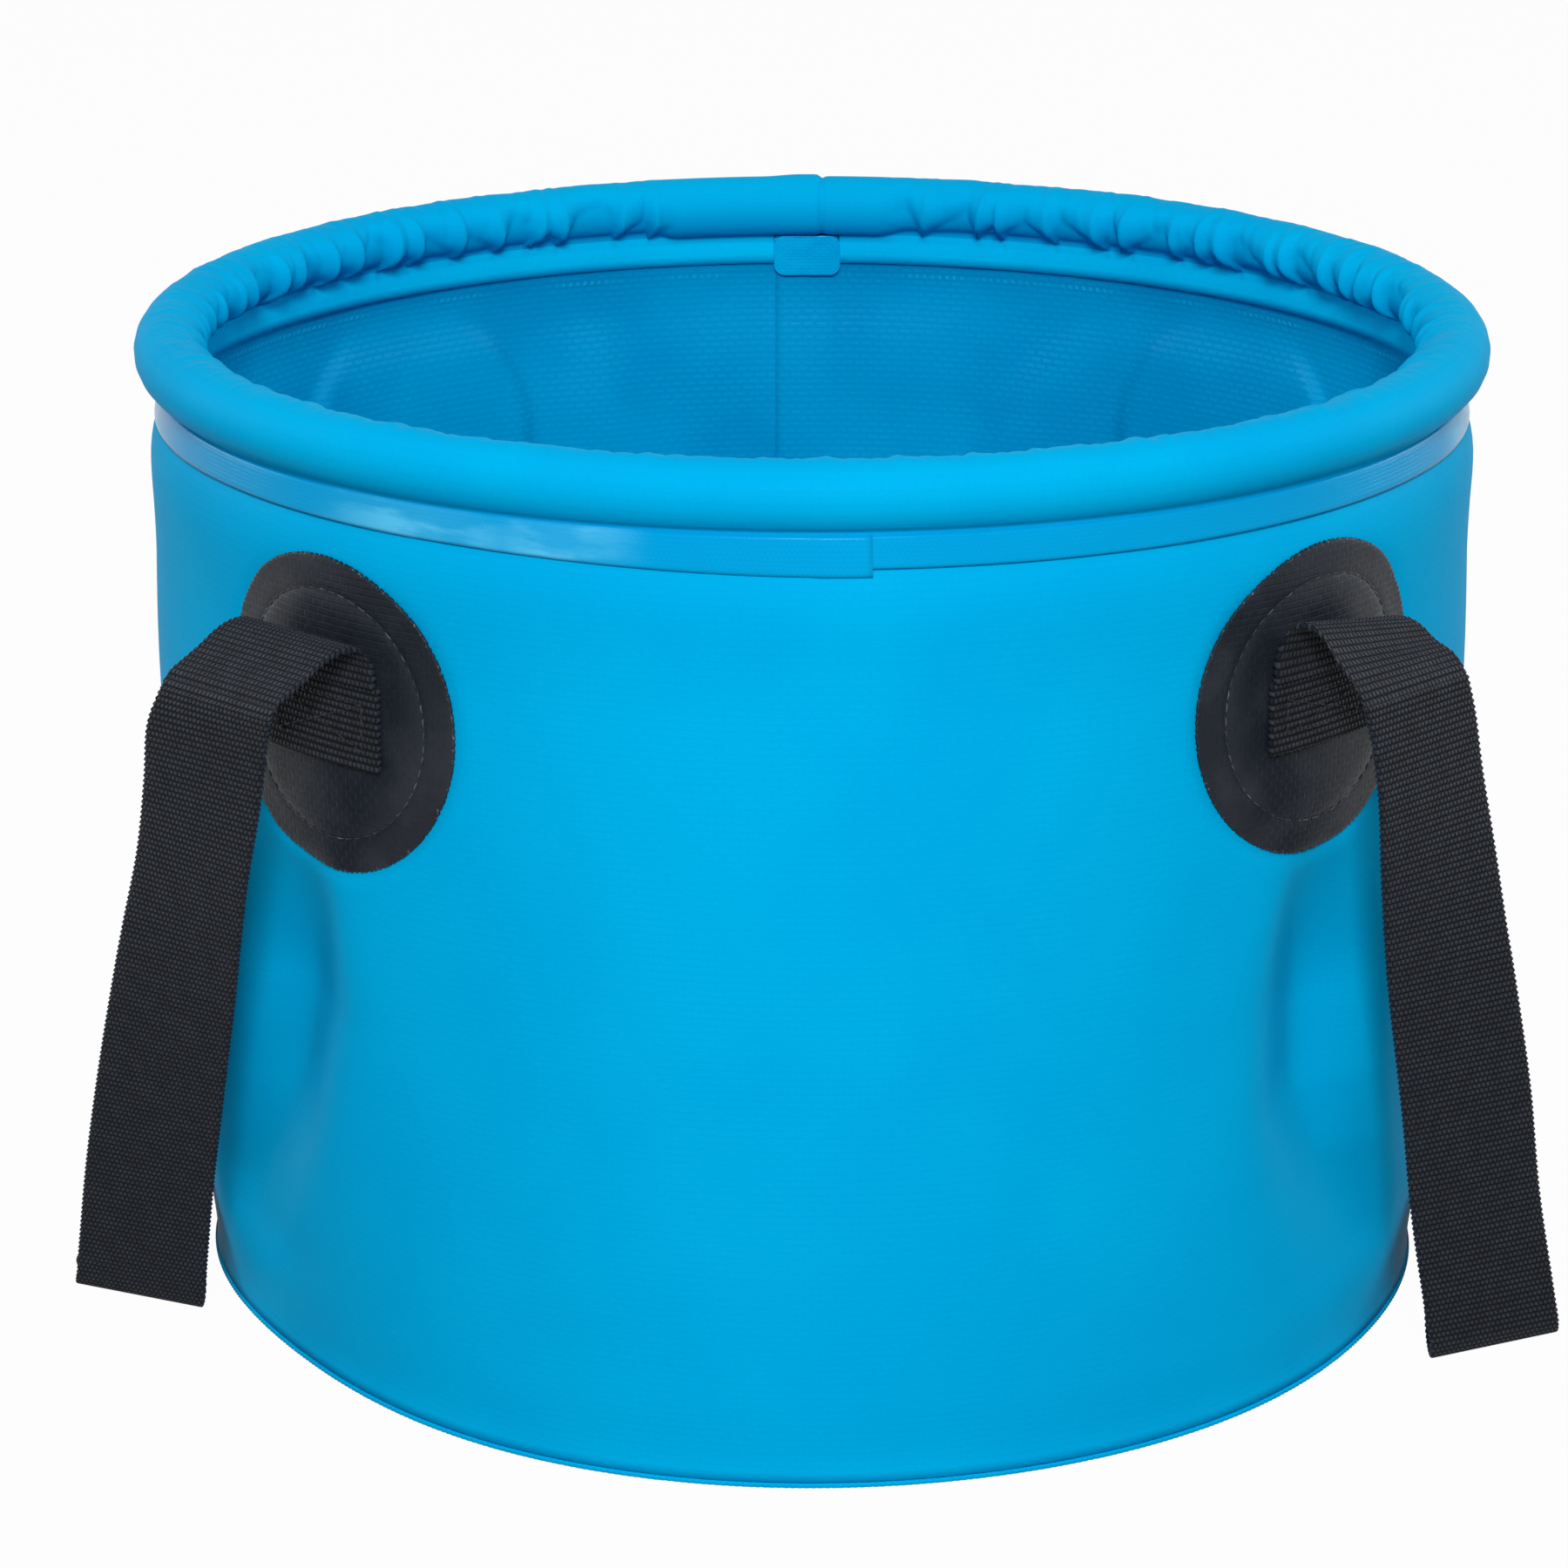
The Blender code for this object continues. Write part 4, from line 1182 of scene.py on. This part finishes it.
def smoothPath(points, steps):
    # a smooth curve through the points, with steps stops in each stretch
    ends = [points[0] * 2 - points[1]] + list(points) + [points[-1] * 2 - points[-2]]
    path = []
    for i in range(len(points) - 1):
        a, b, c, d = ends[i : i + 4]
        for k in range(steps):
            t = k / steps
            spot = b * 2 + (c - a) * t + (a * 2 - b * 5 + c * 4 - d) * t**2 + (b * 3 - a - c * 3 + d) * t**3
            path.append(spot / 2)
    return path + [points[-1]]


def runsAlong(path):
    runs = [0.0]
    for one, other in zip(path, path[1:]):
        runs.append(runs[-1] + (other - one).length)
    return runs


def stopAt(runs, run, guess):
    i = min(guess, len(runs) - 2)
    while i < len(runs) - 2 and runs[i + 1] < run:
        i += 1
    while i > 0 and runs[i] > run:
        i -= 1
    share = (run - runs[i]) / max(runs[i + 1] - runs[i], 1e-9)
    return i, min(max(share, 0.0), 1.0)


def makeSewnEnd(corner, place, facts):
    length = webbing["pivotHeight"] - facts["sewnBottom"]

    def pointAt(run, across, height):
        up = webbing["pivotHeight"] + run
        return onSkin(place["azimuth"], across, up, webbing["sewnOffset"] + height)

    piece = makeBand(corner + "StrapEnd", -length, -0.00002, pointAt)
    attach(piece, "patches")
    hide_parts(corner + "_strap_end")
    bm = bmesh.new()
    reach = webbing["halfWidth"] - webbing["stitchInset"]
    low = facts["sewnBottom"] + webbing["stitchInset"]
    high = webbing["pivotHeight"] - webbing["stitchInset"]
    box = ((-reach, low), (reach, low), (reach, high), (-reach, high), (-reach, low))
    runs = list(zip(box, box[1:])) + [(box[0], box[2]), (box[1], box[3])]
    for first, last in runs:
        span = math.dist(first, last)
        way = math.atan2(last[1] - first[1], last[0] - first[0])
        count = max(3, round(span / webbing["stitchPitch"]))
        for i in range(count):
            share = (i + 0.5) / count
            centre = (first[0] + (last[0] - first[0]) * share, first[1] + (last[1] - first[1]) * share)
            top = webbing["sewnOffset"] + webbing["halfThickness"] + 0.00004
            addStitch(bm, place, centre, way, 0.0, top, span / count * 0.86)
    piece = finishPiece(corner + "StrapStitching", bm, [finishes["webbingThread"]])
    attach(piece, "patches")
    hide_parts(corner + "_strap_stitching")


def archPath(facts):
    path = smoothPath([Vector((radius, height)) / 1000 for radius, height in facts["arch"]], 24)
    return path, runsAlong(path)


def makeArch(corner, place, facts):
    azimuth = place["azimuth"]
    outWay = around(azimuth, 1.0, 0.0)
    acrossWay = Vector((math.cos(azimuth), math.sin(azimuth), 0.0))
    path, runs = archPath(facts)
    last = len(path) - 1
    spot = {"i": 0}

    def pointAt(run, across, height):
        i, share = stopAt(runs, run, spot["i"])
        spot["i"] = i
        middle = path[i].lerp(path[i + 1], share)
        ahead = (path[min(i + 3, last)] - path[max(i - 2, 0)]).normalized()
        # at the sewn end the band still follows the curve of the wall, and it twists over the top
        curve = across * across / (2 * 0.165) * fades(0.0, 0.014, run)
        lean = facts["twist"] * smoothStep(0.0, 0.016, run) * fades(0.018, runs[-1], run)
        radius = middle.x + ahead.y * height - curve
        level = middle.y + ahead.x * height + across * lean
        return outWay * radius + acrossWay * across + Vector((0.0, 0.0, level))

    piece = makeBand(corner + "StrapArch", 0.0, runs[-1], pointAt)
    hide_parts(corner + "_strap_arch")
    start = around(azimuth, path[0].x, webbing["pivotHeight"])
    finish = around(azimuth, path[-1].x, webbing["pivotHeight"])
    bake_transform(piece)


def halfHandle(side, end):
    # one half of a hanging handle as (centre, width direction), from its arch to the middle of the floor run
    facts = handles[side]
    foothold = facts[end]
    sign = facts["sign"]
    way = -1 if end == "front" else 1
    azimuth = abs(corners["front_" + side]["azimuth"])
    outwards = around(sign * azimuth, 1.0, 0.0)
    outwards.y = way * abs(outwards.y)
    top = outwards * facts["arch"][-1][0] / 1000 + Vector((0.0, 0.0, webbing["pivotHeight"]))
    thick = 2 * webbing["halfThickness"]
    wide = 2 * webbing["halfWidth"]
    foot = Vector((sign * foothold["side"], way * foothold["reach"], thick / 2 + webbing["floorClearance"]))
    lean = webbing["runLean"]
    runSide = wallRadius(wide * math.sin(lean) + thick) + webbing["runClearance"]
    runSide += wide / 2 * math.cos(lean) + thick / 2 * math.sin(lean)
    middle = Vector((sign * runSide, 0.0, 0.0))
    fold = webbing["foldRadius"]

    def level(turn):
        return Vector((-sign * math.cos(turn), way * math.sin(turn), 0.0))

    footTurn = math.radians(foothold["turn"])
    footWay = level(footTurn)
    leaning = Vector((-sign * math.cos(lean), 0.0, math.sin(lean)))
    # the rear legs mirror the front ones, and lean over to their own place on the floor
    shift = Vector((sign * (foothold["side"] - facts["front"]["side"]), 0.0, 0.0))
    shift.y = way * (foothold["reach"] - facts["front"]["reach"])
    extraTurn = footTurn - math.radians(facts["front"]["turn"])
    legPoints = [Vector((*top, azimuth))]
    for x, y, z, turn in facts["leg"]:
        fall = 1.0 - z / 1000 / webbing["pivotHeight"]
        spot = Vector((x, y if way < 0 else -y, z)) / 1000 + shift * fall
        legPoints.append(Vector((*spot, math.radians(turn) + extraTurn * fall)))
    stations = [(stop.xyz, level(stop.w)) for stop in smoothPath(legPoints, 24)]
    legEnd = stations[-1][0].copy()
    runStart = foot - Vector((0.0, way * fold, 0.0))
    for i in range(1, 24):
        share = i / 24
        centre = legEnd.lerp(foot, share).lerp(foot.lerp(runStart, share), share)
        stations.append((centre, footWay))
    for i in range(81):
        share = i / 80
        centre = runStart.lerp(middle, share)
        widthWay = footWay.lerp(leaning, smoothStep(0.0, 1.0, 1.6 * share)).normalized()
        centre.x = runStart.x + (middle.x - runStart.x) * smoothStep(0.0, 1.0, 1.4 * share)
        centre.z = wide / 2 * widthWay.z + thick / 2 + webbing["floorClearance"]
        stations.append((centre, widthWay))
    return stations


def makeHandle(side):
    facts = handles[side]
    stations = halfHandle(side, "front") + halfHandle(side, "rear")[-2::-1]
    centres = [centre for centre, widthWay in stations]
    runs = runsAlong(centres)
    archRuns = archPath(facts)[1]
    last = len(stations) - 1
    aheads = []
    for i in range(len(stations)):
        low, high = max(i - 2, 0), min(i + 2, last)
        aheads.append((centres[high] - centres[low]).normalized())
    spot = {"i": 0}

    def pointAt(run, across, height):
        i, share = stopAt(runs, run - archRuns[-1], spot["i"])
        spot["i"] = i
        centre = centres[i].lerp(centres[i + 1], share)
        widthWay = stations[i][1].lerp(stations[i + 1][1], share).normalized()
        ahead = aheads[i].lerp(aheads[i + 1], share).normalized()
        faceWay = ahead.cross(widthWay).normalized()
        return centre + widthWay * across + faceWay * height

    piece = makeBand(side + "Handle", archRuns[-1] + 0.00002, archRuns[-1] + runs[-1], pointAt)
    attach(piece, side + "_handle")
    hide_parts(side + "_handle_strap")
    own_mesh(piece)


for corner, place in corners.items():
    facts = handles[corner.split("_")[1]]
    makeSewnEnd(corner, place, facts)
    makeArch(corner, place, facts)
for side in handles:
    makeHandle(side)
print("webbing made")
